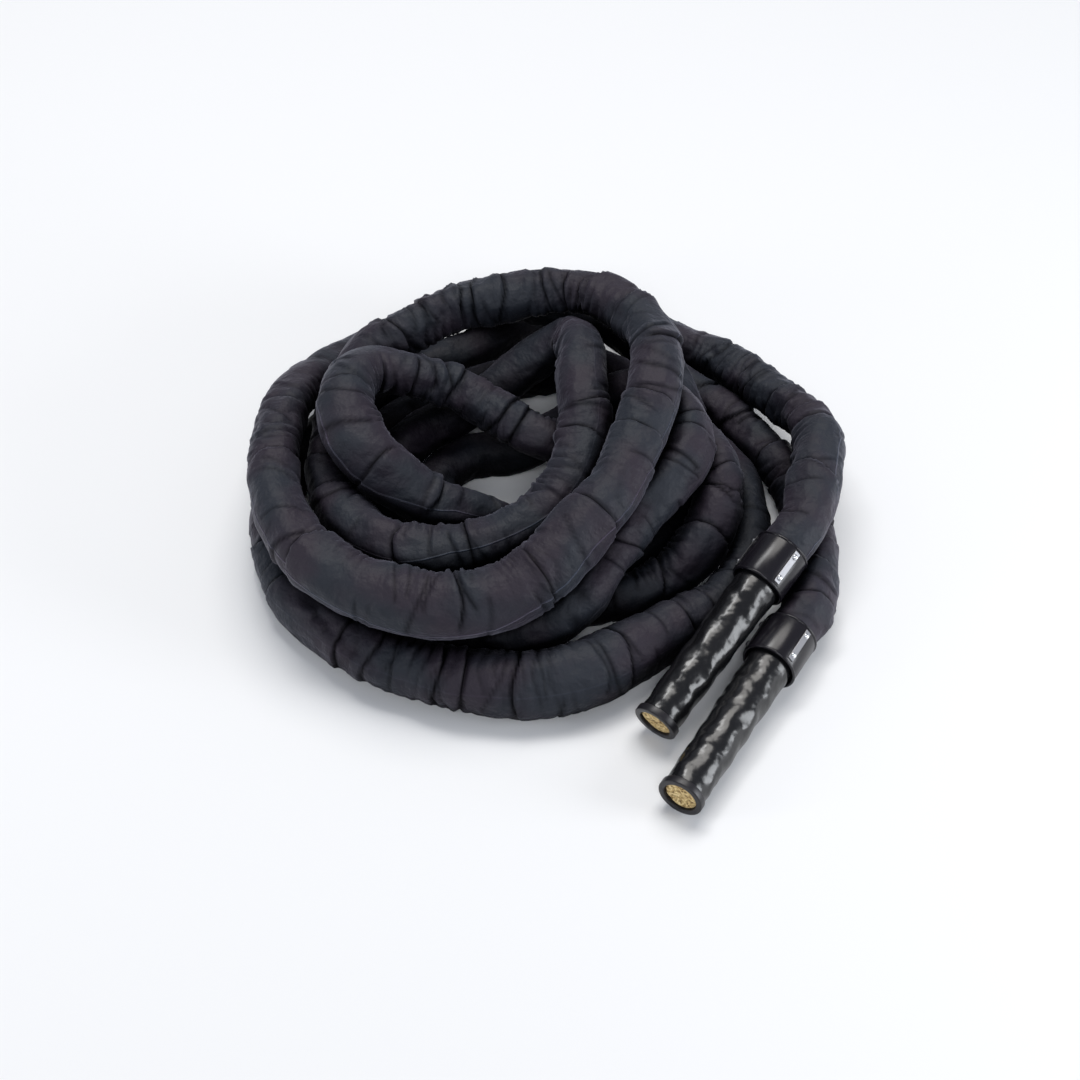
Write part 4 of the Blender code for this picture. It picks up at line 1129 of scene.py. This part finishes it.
def add_rope_end(letter):
    """A square grid drawn into a disc, raised into three mounds, with a rim down into the grip."""
    outer = END_RING_BORE / 2 - SEAT_GAP
    shape = bmesh.new()
    bmesh.ops.create_grid(shape, x_segments=ROPE_END_STEPS, y_segments=ROPE_END_STEPS, size=outer)
    for spot in shape.verts:
        length = math.hypot(spot.co.x, spot.co.y)
        if length > 0:
            spot.co.xy *= max(abs(spot.co.x), abs(spot.co.y)) / length
    rng = np.random.default_rng(500 + ord(letter))
    for spot in shape.verts:
        length = math.hypot(spot.co.x, spot.co.y) / outer
        turn = math.atan2(spot.co.y, spot.co.x)
        mound = math.sqrt(abs(math.cos(ROPE_STRANDS * turn / 2))) * min(1, length / MOUND_START_SHARE)
        edge = max(0, length - 1 + RIM_SHARE) / RIM_SHARE
        spot.co.z = END_RING_FACE - STRAND_MOUND * (mound - edge) - FIBRE_ROUGHNESS * rng.uniform(0, 1)
    rim = bmesh.ops.extrude_face_region(shape, geom=shape.faces[:])
    for item in rim["geom"]:
        if isinstance(item, bmesh.types.BMVert):
            item.co.z = GRIP_START + ROPE_INSET
    shape.transform(END_FRAMES[letter])
    finish_mesh(f"rope_end_{letter}", shape, "rope")


for letter in ENDS:
    add_grip(letter)
    add_end_ring(letter)
    add_ferrule(letter)
    add_rope_end(letter)
    add_rivets(letter)
    dress_node(f"rivet_plate_{letter}1", "plate")
    # The second plate gets the darker copy of the steel: painted shade
    dress_node(f"rivet_plate_{letter}2", "shaded_copy_plate")

# %% [markdown]
# ## Floor and light
#
# A pale floor in an even surround, two wide soft lights and three soft boxes. The box above and the one low
# on the right give the two lines of light along each grip.

# %% Floor and light
FLOOR_SIZE = 12
FLOOR_COLOUR = (0.84, 0.845, 0.85, 1)
FLOOR_DROP = 0.4 * MM
SURROUND_COLOUR = (0.90, 0.96, 1.10, 1)
SURROUND = 0.25
PAST_FLOOR_COLOUR = (0.96, 0.97, 0.98, 1)
# Wide lights: strength, angle in degrees, the way to the light, colour
WIDE_LIGHTS = {"light_from_above": (1.34, 34, (0.12, 0.5, 1), (1.03, 1.0, 0.96)),
               "light_from_camera": (0.75, 20, (0, -0.67, 0.74), (0.98, 1.0, 1.04))}
# Soft boxes, turned to the origin: power, place, size, colour
SOFT_BOXES = {"soft_box_above": (15, (-0.43, 0.81, 2.3), (0.9, 0.5), (1, 1, 1)),
              "soft_box_right": (20, (1.85, -0.58, 0.5), (0.7, 1.1), (0.96, 0.99, 1.03)),
              "soft_box_left": (6, (-1.9, -0.7, 0.6), (0.4, 1.0), (0.94, 0.97, 1.0))}


def add_floor():
    shape = bmesh.new()
    bmesh.ops.create_grid(shape, x_segments=1, y_segments=1, size=FLOOR_SIZE / 2)
    mesh = mesh_of("floor", shape)
    recipe = Recipe(bpy.data.materials.new("floor"))
    mesh.materials.append(recipe.finish(Base_Color=FLOOR_COLOUR, Roughness=0.9, Specular_IOR_Level=0.1))
    add_object("floor", mesh, (0, 0, -FLOOR_DROP))


def set_world():
    """A grey surround for light, and plain near white where the camera looks past the floor."""
    scene.world = bpy.data.worlds.new("surround")
    recipe = Recipe(scene.world)
    light = recipe.add("Background", {"Color": SURROUND_COLOUR, "Strength": SURROUND})
    seen = recipe.add("Background", {"Color": PAST_FLOOR_COLOUR})
    from_camera = recipe.add("LightPath", output="Is Camera Ray")
    mixed = recipe.add("MixShader", {"Fac": from_camera, 1: light, 2: seen})
    recipe.feed(recipe.tree.nodes["World Output"], {"Surface": mixed})


def add_lights():
    for name, (strength, angle, way, colour) in WIDE_LIGHTS.items():
        data = bpy.data.lights.new(name, "SUN")
        data.energy, data.angle, data.color = strength, math.radians(angle), colour
        add_object(name, data, facing=way)
    for name, (power, place, size, colour) in SOFT_BOXES.items():
        data = bpy.data.lights.new(name, "AREA")
        data.shape = "RECTANGLE"
        data.energy, data.color = power, colour
        data.size, data.size_y = size
        add_object(name, data, place, place)


add_floor()
set_world()
add_lights()
